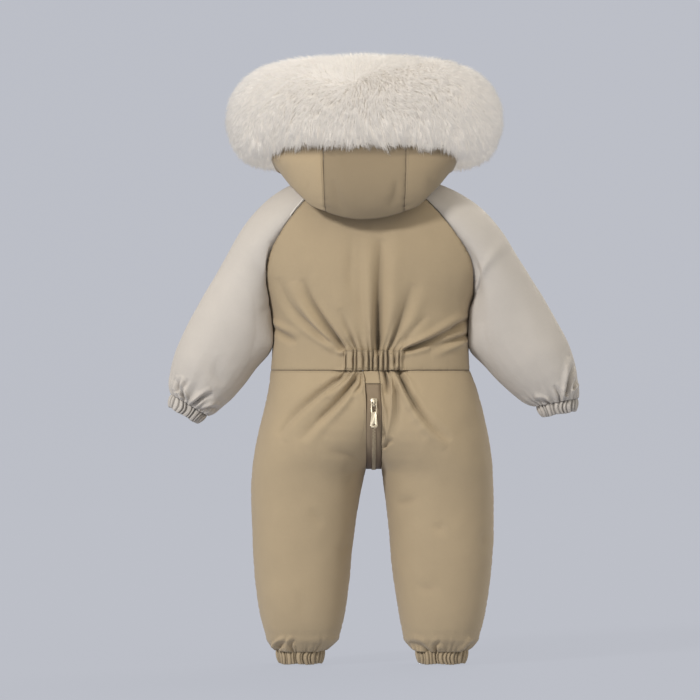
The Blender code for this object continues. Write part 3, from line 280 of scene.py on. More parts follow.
# The stage: the floor's rings (radius and rise), the lights (name, colour, softness, directions) and the view
FLOOR_DIVISIONS = 96
FLOOR_RINGS = ((2.0, 0.0), (5.0, 0.0), (9.0, 0.0), (11.0, 0.25), (12.0, 1.0), (12.3, 2.2))
LIGHTS = (
    ("key_light", (0.980, 0.970, 0.965), 11.0, (63.0, 0.0, -36.0)),
    ("right_light", (1.0, 0.925, 0.76), 60.0, (66.0, 0.0, 52.0)),
    ("front_light", (1.0, 0.965, 0.92), 50.0, (50.0, 0.0, 160.0)),
)
VIEW_MIDDLE = (-0.0353, -0.230)

# Radii that the weave is laid round by
BODY_RADIUS = 0.12
ARM_RADIUS = 0.07
BAND_RADIUS = 0.04
ZIP_RADIUS = 0.10

FUR_MIDDLE = -0.013
FUR_CROWN = (-0.028, -0.15, 0.178)  # from which the pile runs down
FUR_GROUPS = 8
FUR_SEED = 3  # of its random draws, and of the noise that swirls it, which is otherwise new at each run


class Value:
    """A socket in a material; sums, products and differences of such sockets add their own nodes."""

    def __init__(self, tree, socket):
        self.tree = tree
        self.socket = socket

    def node(self, kind, settings=(), values=(), out=0):
        """Add any node: its settings first, then the values or links of its sockets."""
        made = self.tree.nodes.new(kind)
        for key, value in dict(settings).items():
            setattr(made, key, value)
        for key, value in dict(values).items():
            if isinstance(value, Value):
                self.tree.links.new(value.socket, made.inputs[key])
            else:
                made.inputs[key].default_value = value
        return Value(self.tree, made.outputs[out])

    def maths(self, operation, *others):
        return self.node("ShaderNodeMath", {"operation": operation}, dict(enumerate(others)))

    def __add__(self, other):
        return self.maths("ADD", self, other)

    __radd__ = __add__

    def __mul__(self, other):
        return self.maths("MULTIPLY", self, other)

    __rmul__ = __mul__

    def __sub__(self, other):
        return self.maths("SUBTRACT", self, other)

    def __rsub__(self, other):
        return self.maths("SUBTRACT", other, self)

    def __pow__(self, other):
        return self.maths("POWER", self, other)

    def wave(self):
        return self.maths("SINE", self)

    def limit(self):
        return self.node("ShaderNodeClamp", {}, {0: self})

    def part(self, name):
        """One of the numbers of a vector."""
        return self.node("ShaderNodeSeparateXYZ", {}, {0: self}, "XYZ".index(name))

    def grain(self, scale, detail=2.0):
        """Noise laid out by this vector."""
        return self.node("ShaderNodeTexNoise", {}, {"Vector": self, "Scale": scale, "Detail": detail})

    def blend(self, first, second):
        """A colour from first to second by this value."""
        pair = [(*c, 1.0) if isinstance(c, tuple) else c for c in (first, second)]
        return self.node("ShaderNodeMix", {"data_type": "RGBA"}, {0: self, 6: pair[0], 7: pair[1]}, 2)


class Finish(Value):
    """A material under way; its own socket is the shader's surface."""

    def __init__(self, name, roughness, **constants):
        self.material = bpy.data.materials.new(name)
        self.material.use_nodes = True
        tree = self.material.node_tree
        self.shader = tree.nodes["Principled BSDF"]
        super().__init__(tree, self.shader.outputs[0])
        self.shader.inputs["Roughness"].default_value = roughness
        for key, value in constants.items():
            self.shader.inputs[key.replace("_", " ")].default_value = value

    def colour(self, value):
        if isinstance(value, Value):
            self.tree.links.new(value.socket, self.shader.inputs["Base Color"])
        else:
            self.shader.inputs["Base Color"].default_value = (*value, 1.0)

    def raised(self, height, distance, strength=1.0):
        bump = self.node("ShaderNodeBump", {}, {"Height": height, "Distance": distance, "Strength": strength})
        self.tree.links.new(bump.socket, self.shader.inputs["Normal"])

    def place(self):
        return self.node("ShaderNodeTexCoord", out="Object")

    def attribute(self, name):
        return self.node("ShaderNodeAttribute", {"attribute_name": name}, out="Fac")

    def weave(self):
        return self.node("ShaderNodeUVMap", {"uv_map": "Weave"})


def shade(colour, part):
    """A colour, darker or lighter."""
    return tuple(min(c * part, 1.0) for c in colour)


def cloth_finish(name, colour, lining, pitch):
    """Fine woven cloth: crossing threads, slow colour changes, painted shade (with some stitch marks) where
    its points are marked, and its lining on the inside.
    """
    made = Finish(name, 0.82, Sheen_Weight=0.12, Sheen_Roughness=0.45)
    across = made.weave().part("X")
    along = made.weave().part("Y")
    turn = math.pi / pitch
    threads = (across * turn).wave() * (along * turn).wave()
    slub = made.weave().grain(1.0 / (6.0 * pitch), 3.0)
    slow = made.place().grain(9.0, 3.0)
    patch = made.place().grain(42.0, 2.0)
    # The points' painted shade, with stitch marks on the casing: marked points darken towards a third of the
    # colour
    worn = made.attribute("worn")
    light = (slow * 0.55 + patch * 0.25 + slub * 0.2 + threads * 0.10).limit()
    cloth = (worn * 0.75).blend(light.blend(shade(colour, 0.88), shade(colour, 1.12)), shade(colour, 0.34))
    inside = made.attribute("inside")
    soft = made.place().grain(700.0, 2.0).blend(shade(lining, 0.84), shade(lining, 1.05))
    made.colour(inside.blend(cloth, soft))
    relief = threads * 0.5 + slub * 0.8 + made.place().grain(260.0, 3.0) * 0.9
    made.raised(relief, 0.00035, 0.55)
    return made.material


def ribbed_finish(name, colour, colour_low):
    """Herringbone tape of a zip, darker where it narrows to the crotch, and with painted shade under its
    teeth.
    """
    made = Finish(name, 0.7, Sheen_Weight=0.08)
    across = made.weave().part("X")
    along = made.weave().part("Y")
    ribs = (across * 7000.0 + (along * 2600.0).wave() * 1.2).wave()
    low = made.attribute("low")
    dark = made.place().grain(160.0, 3.0) * 0.5 + ribs * 0.18 + 0.25
    high_tape, low_tape = (dark.limit().blend(shade(c, 0.78), shade(c, 1.12)) for c in (colour, colour_low))
    made.colour(low.blend(high_tape, low_tape))
    made.raised(ribs, 0.0002, 0.6)
    return made.material


def fur_finish(name, root, tip):
    """Pile, dark at its roots and pale at its tips, each lock a shade of its own, with a painted glow from
    the tips' colour, strongest at the roots, for light scattered within the pile.
    """
    made = Finish(name, 0.8, Sheen_Weight=0.25, Sheen_Roughness=0.6, Emission_Strength=0.44)
    along = made.attribute("along")
    # Painted light: the strands glow, most at their roots, in place of light scattered within the pile
    painted_glow = along.blend(shade(tip, 1.05), shade(tip, 0.66))
    made.tree.links.new(painted_glow.socket, made.shader.inputs["Emission Color"])
    tone = made.attribute("tone")
    made.colour((along ** 0.5).blend(shade(root, 0.8), tone.blend(shade(tip, 0.60), shade(tip, 0.68))))
    return made.material


def backing_finish(name, colour):
    """The fur's cloth backing, coarse and matt."""
    made = Finish(name, 0.95)
    coarse = made.place().grain(240.0, 4.0)
    made.colour(coarse.blend(shade(colour, 0.6), shade(colour, 1.1)))
    made.raised(coarse, 0.003)
    return made.material


def thread_finish(name, colour, roughness=0.55, sheen=0.15):
    """Twisted sewing thread or cord."""
    made = Finish(name, roughness, Sheen_Weight=sheen)
    twist = made.place().grain(2600.0, 2.0)
    made.colour(twist.blend(shade(colour, 0.75), shade(colour, 1.12)))
    made.raised(twist, 0.0002)
    return made.material


def moulded_finish(name, colour):
    """Nylon zip teeth."""
    made = Finish(name, 0.42)
    cloud = made.place().grain(420.0, 3.0)
    made.colour(cloud.blend(shade(colour, 0.8), shade(colour, 1.15)))
    made.raised(cloud, 0.0001, 0.4)
    return made.material


def metal_finish(name, colour):
    """Pale gold, brushed and a little dulled."""
    made = Finish(name, 0.42, Metallic=1.0)
    cloud = made.place().grain(300.0, 4.0)
    scratches = made.place().grain(2200.0, 2.0)
    made.colour(cloud.blend(shade(colour, 0.70), shade(colour, 1.12)))
    rough = cloud * 0.16 + scratches * 0.08 + 0.32
    made.tree.links.new(rough.socket, made.shader.inputs["Roughness"])
    made.raised(scratches, 0.00004, 0.6)
    return made.material


def studio_finish(name, colour):
    """A pale floor that glows a little, so that it keeps one colour to its edge."""
    made = Finish(name, 1.0, Emission_Strength=1.0, Specular_IOR_Level=0.0)
    made.shader.inputs["Emission Color"].default_value = (*shade(colour, 0.90), 1.0)
    made.colour(shade(colour, 0.09))
    return made.material


def deselect():
    """Leave edit mode and select nothing."""
    if bpy.context.object and bpy.context.object.mode != "OBJECT":
        bpy.ops.object.mode_set(mode="OBJECT")
    bpy.ops.object.select_all(action="DESELECT")


def pick(piece):
    """Make one piece the only selected one."""
    deselect()
    piece.select_set(True)
    bpy.context.view_layer.objects.active = piece


def new_piece(name, mesh):
    """An object of its own for a mesh."""
    piece = bpy.data.objects.new(name, mesh)
    bpy.context.scene.collection.objects.link(piece)
    return piece


def apply_modifier(piece, kind, **settings):
    """Add a modifier to a piece and apply it."""
    pick(piece)
    modifier = piece.modifiers.new(kind.title(), kind)
    for key, value in settings.items():
        setattr(modifier, key, value)
    bpy.ops.object.modifier_apply(modifier=modifier.name)


def array_mesh(name, points, faces):
    """A mesh from arrays; all faces have the same number of corners."""
    mesh = bpy.data.meshes.new(name)
    sides = faces.shape[1]
    mesh.vertices.add(len(points))
    mesh.vertices.foreach_set("co", np.asarray(points, dtype=np.float32).ravel())
    mesh.loops.add(faces.size)
    mesh.loops.foreach_set("vertex_index", faces.astype(np.int32).ravel())
    mesh.polygons.add(len(faces))
    mesh.polygons.foreach_set("loop_start", np.arange(0, faces.size, sides, dtype=np.int32))
    mesh.update(calc_edges=True)
    mesh.shade_smooth()
    return mesh


def places(piece, kind="co"):
    """Where the points of a piece lie."""
    found = np.empty(3 * len(piece.data.vertices))
    piece.data.vertices.foreach_get(kind, found)
    return found.reshape(-1, 3)


def directions(piece):
    """Where the points of a piece face."""
    return places(piece, "normal")


def move_to(piece, points):
    """Put the points of a piece in new places."""
    piece.data.vertices.foreach_set("co", points.ravel())
    piece.data.update()


def mark(piece, name, values):
    """Keep a number for each point of a piece."""
    layer = piece.data.attributes.get(name) or piece.data.attributes.new(name, "FLOAT", "POINT")
    layer.data.foreach_set("value", np.asarray(values, dtype=np.float32))


def triangles(piece):
    """The three points of each triangle that a piece's faces are cut into."""
    work = bmesh.new()
    work.from_mesh(piece.data)
    bmesh.ops.triangulate(work, faces=work.faces)
    corners = np.array([[v.index for v in f.verts] for f in work.faces])
    work.free()
    return corners


def ring_faces(index):
    """Four-sided faces between closed rings of points, from the points' numbers, a row for each ring."""
    after = np.roll(index, -1, axis=1)
    return np.stack((index[:-1], after[:-1], after[1:], index[1:]), axis=2).reshape(-1, 4)


def tree_of(*pieces):
    """The faces of some pieces, to be met by rays or found by their nearness."""
    work = bmesh.new()
    for piece in pieces:
        work.from_mesh(piece.data)
    tree = BVHTree.FromBMesh(work)
    work.free()
    return tree


def caster(*pieces):
    """Rays against one or more pieces: the nearest place and direction that a ray meets."""
    trees = [tree_of(piece) for piece in pieces]

    def cast(start, direction):
        hits = [tree.ray_cast(Vector(start), Vector(direction)) for tree in trees]
        hits = [hit for hit in hits if hit[0] is not None]
        return min(hits, key=lambda hit: hit[3]) if hits else None

    return cast


def smooth(rows, times):
    """Even out rows of numbers between the first and the last."""
    for _ in range(times):
        rows[1:-1] = 0.5 * rows[1:-1] + 0.25 * (rows[:-2] + rows[2:])


def unit(vectors):
    """The same directions, each one long."""
    return vectors / np.maximum(np.linalg.norm(vectors, axis=-1, keepdims=True), 1e-9)


def ramp(values, low, high):
    """Smoothly from 0 at low to 1 at high."""
    part = np.clip((values - low) / (high - low), 0.0, 1.0)
    return part * part * (3.0 - 2.0 * part)


def outward(region, points):
    """Directions away from the middle of the trunk, a leg, an arm or the hood."""
    middle = points.copy()
    if region == "trunk":
        middle[:, 0] = np.interp(points[:, 2], *TRUNK_MIDDLE)
        middle[:, 1] = 0.0
    elif region.startswith("leg"):
        middle[:, 0] = np.interp(points[:, 2], *LEG_MIDDLE) * (-1 if region.endswith("left") else 1)
        middle[:, 1] = 0.0
    elif region.startswith("arm"):
        top, end = (np.array(p) for p in ARMS[region[4:]])
        line = unit(end - top)
        middle = top + ((points - top) @ line)[:, None] * line
    else:
        middle[:] = HOOD_MIDDLE
    return unit(points - middle)


def part_of(region):
    """Whose creases a region has: the body's, an arm's or the hood's."""
    return {"arm": "arm", "hood": "hood"}.get(region.split("_")[0], "body")


def curved(line, steps=5):
    """A smooth line through a few points."""
    ends = np.concatenate((2.0 * line[:1] - line[1:2], line, 2.0 * line[-1:] - line[-2:-1]))
    t = np.arange(steps)[:, None] / steps
    found = [
        0.5
        * (
            2.0 * b
            + (c - a) * t
            + (2.0 * a - 5.0 * b + 4.0 * c - d) * t**2
            + (3.0 * b - a - 3.0 * c + d) * t**3
        )
        for a, b, c, d in zip(ends, ends[1:], ends[2:], ends[3:])
    ]
    return np.concatenate(found + [line[-1:]])


def along_line(points, line):
    """How far flat points lie from a line, to which side, and how far along it, 0 to 1."""
    steps = np.diff(line, axis=0)
    lengths = np.linalg.norm(steps, axis=1)
    starts = np.concatenate(([0.0], np.cumsum(lengths)[:-1]))
    best = np.full(len(points), 1e9)
    side = np.zeros(len(points))
    part = np.zeros(len(points))
    for start, step, length, first in zip(line, steps, lengths, starts):
        gap = points - start
        share = np.clip(gap @ step / length**2, 0.0, 1.0)
        away = np.linalg.norm(gap - share[:, None] * step, axis=1)
        near = away < best
        best = np.where(near, away, best)
        side = np.where(near, np.sign(step[0] * gap[:, 1] - step[1] * gap[:, 0]), side)
        part = np.where(near, (first + share * length) / lengths.sum(), part)
    return best, side, np.minimum(part, 1.0)


def creased(part, points, facing, strength):
    """How far the creases of a part lift each point; their valleys are negative."""
    flat = points[:, (0, 2)] / MM
    lift = np.zeros(len(points))
    own = [(face, Crease(*row)) for (place, face), rows in CREASES.items() if place == part for row in rows]
    for face, crease in own:
        line = curved(np.array(crease.points, dtype=float))
        reach = CREASE_REACH * crease.width
        least, most = line.min(axis=0) - reach, line.max(axis=0) + reach
        close = np.flatnonzero(((flat > least) & (flat < most)).all(axis=1))
        if not len(close):
            continue
        away, side, share = along_line(flat[close], line)
        width = crease.width * (0.7 + 0.7 * share)
        if abs(crease.depth) > SOFT_CREASE:
            ends = (1.0 - share) ** 0.55 * (0.55 + 0.45 * ramp(share, 0.0, 0.12))
        else:
            ends = SOFTNESS * np.sin(math.pi * share)
        fade = ends * ramp(facing[close] * face, 0.02, 0.45)
        lift[close] -= crease.depth * fade * np.exp(-((away / width) ** 1.5))
        beside = away * side * math.copysign(1.0, crease.ridge)
        rise = crease.depth * abs(crease.ridge) * min(abs(crease.depth) / 4.0, 1.0)
        lift[close] += rise * fade * np.exp(-(((beside - 2.0 * width) / (1.3 * width)) ** 2))
        lift[close] += 0.4 * rise * fade * np.exp(-(((beside + 2.0 * width) / (1.3 * width)) ** 2))
    return lift * MM * strength


def rolling(points):
    """Slow unevenness of stuffed cloth."""
    lift = [1.5 * noise.noise(p * 13.0) + 0.55 * noise.noise(p * 34.0) for p in map(Vector, points)]
    return np.array(lift) * MM


def uneven_pleats(count, span, seed, length=(0.25, 1.0)):
    """Places, half widths, depths and lengths of gathers, no two alike."""
    rng = np.random.default_rng(seed)
    step = span / count
    return np.stack((
        (np.arange(count) + 0.5 + rng.uniform(-0.28, 0.28, count)) * step - span / 2.0,
        rng.uniform(0.14, 0.26, count) * step,
        rng.uniform(0.45, 1.0, count),
        rng.uniform(*length, count),
    ), axis=1)


def casing_pleats():
    """The gathers across the waist casing."""
    return uneven_pleats(CASING_PLEATS, 2.0 * CASING_HALF, 8, (0.4, 1.0))


def pleated(places_across, pleats, above, length, wrap=0.0, wide=1.0):
    """How deep the gathers are, 0 to 1, at places across them and a height above their band."""
    gap = places_across[:, None] - pleats[None, :, 0]
    if wrap:
        gap = (gap + wrap / 2.0) % wrap - wrap / 2.0
    spread = wide + 1.1 * above[:, None] / length
    fade = np.exp(-((above[:, None] / (length * pleats[None, :, 3])) ** 1.3))
    return (pleats[None, :, 2] * fade * np.exp(-((gap / (pleats[None, :, 1] * spread)) ** 2))).max(axis=1)


def band_frame(band):
    """A band's directions across, out and down."""
    across = np.array(band.across)
    out = np.array((0.0, band.out, 0.0))
    down = np.cross(across, out)
    down *= -math.copysign(1.0, down[2]) / np.linalg.norm(down)
    return across, out, down


def band_pleats(band):
    """The gathers round a cuff or an ankle."""
    return uneven_pleats(GATHERS[band.name].count, 2.0 * math.pi, GATHER_SEEDS[band.side] + len(band.name))


def round_band(band, points):
    """Each point's turn round a band and its height above the band's seam."""
    across, out, down = band_frame(band)
    gap = points - np.array(band.middle)
    turn = np.arctan2(gap @ out / (out @ out), gap @ across / (across @ across))
    return turn, -(gap @ down)


def gathered(node, face):
    """Whether a face outside a panel lies where it is gathered, so that it needs finer divisions."""
    place = face.calc_center_median()
    if node not in REGION or face.normal @ Vector(outward(REGION[node], np.array([place]))[0]) < -0.5:
        return False
    if node == "back_bodice":
        return place.z < -0.202 and place.y < 0.0 and abs(place.x + 0.002) < 0.060
    if node.startswith("sleeve"):
        return place.z < -0.235
    if node.startswith("trouser"):
        at_waist = node.startswith("trouser_back") and place.z > -0.40 and abs(place.x) < 0.080
        return at_waist or place.z < -0.650
    return False


def cloth_piece(node, name, levels, rim=RIM_ANGLE):
    """A finely divided copy of a node's mesh, its cut edges kept."""
    work = bmesh.new()
    work.from_mesh(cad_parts[node].data)
    bmesh.ops.remove_doubles(work, verts=work.verts, dist=MERGE)
    bmesh.ops.join_triangles(
        work, faces=work.faces, angle_face_threshold=math.pi, angle_shape_threshold=math.pi
    )
    work.normal_update()
    finer = {edge for face in work.faces if gathered(node, face) for edge in face.edges}
    if finer:
        bmesh.ops.subdivide_edges(work, edges=list(finer), cuts=1, use_grid_fill=True)
    crease = work.edges.layers.float.new("crease_edge")
    for edge in work.edges:
        if len(edge.link_faces) == 2 and edge.calc_face_angle() > rim:
            edge[crease] = 1.0
    mesh = bpy.data.meshes.new(name)
    work.to_mesh(mesh)
    work.free()
    piece = new_piece(name, mesh)
    apply_modifier(piece, "SUBSURF", levels=levels, render_levels=levels)
    bpy.ops.object.shade_smooth_by_angle(angle=SMOOTH_ANGLE)
    return piece


def lay_weave(piece, turns, reach, heights):
    """Give cloth its own map in metres: round the limb by the turns, along it by the heights."""
    mesh = piece.data
    layer = mesh.uv_layers.get("Weave") or mesh.uv_layers.new(name="Weave")
    corners = np.empty(len(mesh.loops), dtype=np.int32)
    mesh.loops.foreach_get("vertex_index", corners)
    starts = np.empty(len(mesh.polygons), dtype=np.int32)
    totals = np.empty(len(mesh.polygons), dtype=np.int32)
    mesh.polygons.foreach_get("loop_start", starts)
    mesh.polygons.foreach_get("loop_total", totals)
    first = turns[corners[np.repeat(starts, totals)]]
    step = (turns[corners] - first + math.pi) % (2.0 * math.pi) - math.pi
    laid = np.stack(((first + step) * reach, heights[corners]), axis=1)
    layer.data.foreach_set("uv", laid.astype(np.float32).ravel())


def seam_lines(first, second, region):
    """The outer lines where two pieces meet, each in order."""
    edge = places(second)
    tree = KDTree(len(edge))
    for i, point in enumerate(edge):
        tree.insert(point, i)
    tree.balance()
    middles = []
    for point in places(first):
        near, _, gap = tree.find(point)
        if gap < SEAM_GAP:
            middles.append((np.array(near) + point) / 2.0)
    if len(middles) < 3:
        return []
    middles = np.array(middles)
    middles = middles[np.unique((middles / (0.7 * MM)).round(), axis=0, return_index=True)[1]]
    out = outward(region, middles)
    gap = middles[None, :, :] - middles[:, None, :]
    rise = (gap * out[:, None, :]).sum(axis=2)
    aside = np.linalg.norm(gap - rise[:, :, None] * out[:, None, :], axis=2)
    left = list(middles[~((rise > 0.5 * MM) & (aside < 1.6 * MM)).any(axis=1)])
    lines = []
    while len(left) > 2:
        cloud = np.array(left)
        end = cloud[np.argmax(np.linalg.norm(cloud - cloud.mean(axis=0), axis=1))]
        line = [left.pop(int(np.argmax(np.linalg.norm(cloud - end, axis=1))))]
        while left:
            steps = np.linalg.norm(np.array(left) - line[-1], axis=1)
            near = int(np.argmin(steps))
            if steps[near] > SEAM_JUMP:
                break
            line.append(left.pop(near))
        if len(line) > 4:
            lines.append(even_line(np.array(line), SEAM_STEP * MM, 5))
    return lines


def even_line(line, spacing, smoothing=0):
    """The same line with evenly spaced points, smoothed."""
    smooth(line, smoothing)
    run = np.concatenate(([0.0], np.cumsum(np.linalg.norm(np.diff(line, axis=0), axis=1))))
    keep = np.concatenate(([True], np.diff(run) > 1e-7))
    line, run = line[keep], run[keep]
    count = max(int(round(run[-1] / spacing)), 2)
    where = np.linspace(0.0, run[-1], count + 1)
    return np.stack([np.interp(where, run, line[:, i]) for i in range(3)], axis=1)


def drawn_in(points, lines):
    """How far the seams draw each point in, and how near it lies to one, 1 to 0."""
    tree = KDTree(sum(len(line) for line, _ in lines))
    table = []
    for line, seam in lines:
        for i, point in enumerate(line):
            tree.insert(point, len(table))
            table.append((i * SEAM_STEP, seam.depth, seam.reach, seam.pucker))
    tree.balance()
    table = np.array(table)
    found = [tree.find(p) for p in points]
    index = np.array([f[1] for f in found])
    away = np.array([f[2] for f in found]) / MM
    run, depth, reach, pucker = table[index].T
    wave = np.maximum(np.sin(run * 0.62 + 1.3 * np.sin(run * 0.173)) * np.sin(run * 0.231 + 0.6), 0.0)
    fade = np.exp(-((away / (2.6 * reach)) ** 2))
    lift = -(depth * np.exp(-((away / reach) ** 2)) + pucker * wave * 1.6 * fade) * MM
    return lift, np.exp(-((away / 2.2) ** 2))


def on_cloth(line, region, cast, aside=0.0, lift=0.0):
    """A seam's line laid on the cloth, moved to one side along it and lifted."""
    out = outward(region, line)
    side = unit(np.cross(out, unit(np.gradient(line, axis=0))))
    laid = line.copy()
    for i, point in enumerate(line):
        above = point + out[i] * 0.012
        hits = [cast(above + side[i] * (aside + step), -out[i]) for step in (-0.9 * MM, 0.9 * MM)]
        hits = [np.array(hit[0]) for hit in hits if hit is not None and 0.007 < hit[3] < 0.017]
        if hits:
            laid[i] = np.mean(hits, axis=0)
    smooth(laid, 2)
    return laid + lift * out


def tubes(name, lines, radii, sides=6):
    """Round cords along lines, closed at both ends, as one mesh."""
    points, faces = [], []
    base = 0
    for line, radius in zip(lines, radii):
        tangent = unit(np.gradient(line, axis=0))
        spoke = unit(np.cross(tangent, unit(line - line.mean(axis=0) + 1e-4)))
        other = np.cross(tangent, spoke)
        turn = np.arange(sides) * 2.0 * math.pi / sides
        taper = np.ones(len(line))
        taper[[0, -1]] = 0.35
        ring = line[:, None, :] + radius * taper[:, None, None] * (
            np.cos(turn)[None, :, None] * spoke[:, None, :] + np.sin(turn)[None, :, None] * other[:, None, :]
        )
        points.append(ring.reshape(-1, 3))
        faces.append(ring_faces(base + np.arange(len(line) * sides).reshape(-1, sides)))
        base += ring.shape[0] * sides
    mesh = array_mesh(name, np.concatenate(points), np.concatenate(faces))
    work = bmesh.new()
    work.from_mesh(mesh)
    bmesh.ops.holes_fill(work, edges=[e for e in work.edges if e.is_boundary], sides=sides)
    bmesh.ops.recalc_face_normals(work, faces=work.faces)
    work.to_mesh(mesh)
    work.free()
    return new_piece(name, mesh)


def copies(name, pattern, origins, along, out):
    """One mesh of many copies of a small pattern; its X lies along and its Z points out."""
    shape = places(pattern)
    corners = triangles(pattern)
    across = unit(np.cross(out, along))
    out = np.cross(along, across)
    points = (
        origins[:, None, :]
        + shape[None, :, 0, None] * along[:, None, :]
        + shape[None, :, 1, None] * across[:, None, :]
        + shape[None, :, 2, None] * out[:, None, :]
    )
    faces = corners[None] + (np.arange(len(origins)) * len(shape))[:, None, None]
    return new_piece(name, array_mesh(name, points.reshape(-1, 3), faces.reshape(-1, 3)))


def discard(piece):
    """Take away a piece that was only a pattern."""
    bpy.data.objects.remove(piece, do_unlink=True)


def dress(piece, material, slot, body="suit"):
    """Give a piece its material and the body it rides on; its slot argument is not used."""
    piece.data.materials.clear()
    piece.data.materials.append(material)
    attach(piece, body)


def stand_in(piece, material, node, body="suit"):
    """Dress a piece that stands for a node of the model."""
    dress(piece, material, node, body)
    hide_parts(node)


def settings():
    """The sizes and colours that the panel offers."""
    return bpy.context.scene.snowsuit


def finishes():
    """The materials that several pieces share, made once."""
    kept = bpy.data.materials
    own = settings()
    if "khaki_shell" not in kept:
        khaki, stone, lining = (tuple(getattr(own.cloth, key)) for key in ("khaki", "stone", "lining"))
        cloth_finish("khaki_shell", khaki, lining, own.cloth.thread_pitch)
        cloth_finish("stone_shell", stone, lining, own.cloth.thread_pitch)
        thread_finish("khaki_thread", shade(khaki, 0.62))
        thread_finish("seam_shadow", tuple(own.stitching.seam), 0.95, 0.0)
        thread_finish("cream_piping", tuple(own.stitching.piping))
    return kept


def piece_of(node):
    """The finished cloth piece that stands for a node."""
    return bpy.data.objects["cloth_" + node]


def build_cloths(nodes):
    """Divide some panels finely, ready to be sewn."""
    for cloth in CLOTHS:
        if cloth.node in nodes:
            cloth_piece(cloth.node, "cloth_" + cloth.node, settings().cloth.detail)


def colour_of(name, description, default):
    """A colour that the panel offers."""
    return FloatVectorProperty(
        name=name, description=description, subtype="COLOR", size=3, min=0.0, max=1.0, default=default
    )


def length_of(name, description, default, least, most):
    """A length that the panel offers, in metres."""
    return FloatProperty(
        name=name, description=description, unit="LENGTH", precision=5, min=least, max=most, default=default
    )


def strength_of(name, description, default):
    """The strength of a light that the panel offers."""
    return FloatProperty(name=name, description=description, min=0.0, max=20.0, default=default)


class ClothSettings(PropertyGroup):
    """Colours and threads of the cloth, and how deep its creases are"""

    khaki: colour_of("Khaki", "Colour of body and hood", (0.400, 0.309, 0.192))
    stone: colour_of("Stone", "Colour of sleeves and cuffs", (0.556, 0.512, 0.458))
    lining: colour_of("Lining", "Colour of the inside", (0.620, 0.560, 0.480))
    thread_pitch: length_of("Thread pitch", "From one thread of the weave to the next", 0.0007, 0.0002, 0.01)
    creasing: FloatProperty(
        name="Creasing", description="Depth of the creases", subtype="FACTOR", min=0.0, max=3.0, default=1.9
    )
    detail: IntProperty(name="Detail", description="Divisions of the cloth", min=1, max=3, default=3)


class FurSettings(PropertyGroup):
    """Strands and colours of the fur trim"""

    strands: IntProperty(
        name="Strands", description="Strands of the whole trim", min=100, max=90000, default=82000
    )
    length: length_of("Length", "Length of a strand", 0.024, 0.005, 0.05)
    thickness: length_of("Thickness", "Thickness of a strand at its root", 0.0009, 0.0001, 0.003)
    tip: colour_of("Tips", "Colour of the tips", (0.90, 0.850, 0.788))
    root: colour_of("Roots", "Colour of the roots", (0.80, 0.74, 0.66))


class ZipSettings(PropertyGroup):
    """Teeth and colours of the zips"""

    pitch: length_of("Pitch", "From one tooth to the next on the same side", 0.0026, 0.001, 0.01)
    tape: colour_of("Tape", "Colour of the tape", (0.285, 0.212, 0.134))
    tape_low: colour_of("Low tape", "Colour of the tape at the crotch", (0.140, 0.090, 0.058))
    teeth: colour_of("Teeth", "Colour of the teeth", (0.50, 0.41, 0.28))
    gold: colour_of("Metal", "Colour of sliders and pulls", (0.62, 0.55, 0.42))


class StitchSettings(PropertyGroup):
    """Stitches, seams and piping"""

    length: length_of("Stitch", "Length of a stitch", 0.0026, 0.0005, 0.01)
    spacing: length_of("Spacing", "From one stitch to the next", 0.0036, 0.001, 0.02)
    # The seam colour is that of the dark cord laid in a seam's depth as a painted shadow
    seam: colour_of("Seam", "Colour in the depth of a seam", (0.050, 0.030, 0.018))
    piping: colour_of("Piping", "Colour of the raglan piping", (0.88, 0.83, 0.74))


class StageSettings(PropertyGroup):
    """Floor, lights and camera"""

    backdrop: colour_of("Backdrop", "Colour of the studio", (0.497, 0.515, 0.571))
    ambient: colour_of("Ambient", "Colour of the light from all round", (0.595, 0.563, 0.505))
    key: strength_of("Key light", "Strength of the light from the upper left", 2.15)
    fill: strength_of("Front light", "Strength of the light on the suit's front", 1.6)
    distance: length_of("Distance", "From the camera to the suit", 8.0, 2.0, 20.0)
    view_width: length_of("View", "Width of what the camera sees at the suit", 1.0745, 0.2, 4.0)


class SnowsuitSettings(PropertyGroup):
    """All that the panel offers"""

    cloth: PointerProperty(type=ClothSettings)
    fur: PointerProperty(type=FurSettings)
    zips: PointerProperty(type=ZipSettings)
    stitching: PointerProperty(type=StitchSettings)
    stage: PointerProperty(type=StageSettings)


class SNOWSUIT_OT_bodice(Operator):
    """Cut the bodice's back and its two fronts"""

    bl_idname = "snowsuit.bodice"
    bl_label = "Bodice"

    def execute(self, context):
        build_cloths(("back_bodice", "front_bodice_left", "front_bodice_right"))
        return {"FINISHED"}


class SNOWSUIT_OT_trousers(Operator):
    """Cut the trousers' four panels"""

    bl_idname = "snowsuit.trousers"
    bl_label = "Trousers"

    def execute(self, context):
        build_cloths(("trouser_back_left", "trouser_back_right", "trouser_front_left", "trouser_front_right"))
        return {"FINISHED"}


class SNOWSUIT_OT_sleeves(Operator):
    """Cut the two raglan sleeves"""

    bl_idname = "snowsuit.sleeves"
    bl_label = "Sleeves"

    def execute(self, context):
        build_cloths(("sleeve_left", "sleeve_right"))
        return {"FINISHED"}


class SNOWSUIT_OT_hood(Operator):
    """Cut the hood's three panels"""

    bl_idname = "snowsuit.hood"
    bl_label = "Hood"

    def execute(self, context):
        build_cloths(("hood_left", "hood_centre", "hood_right"))
        return {"FINISHED"}


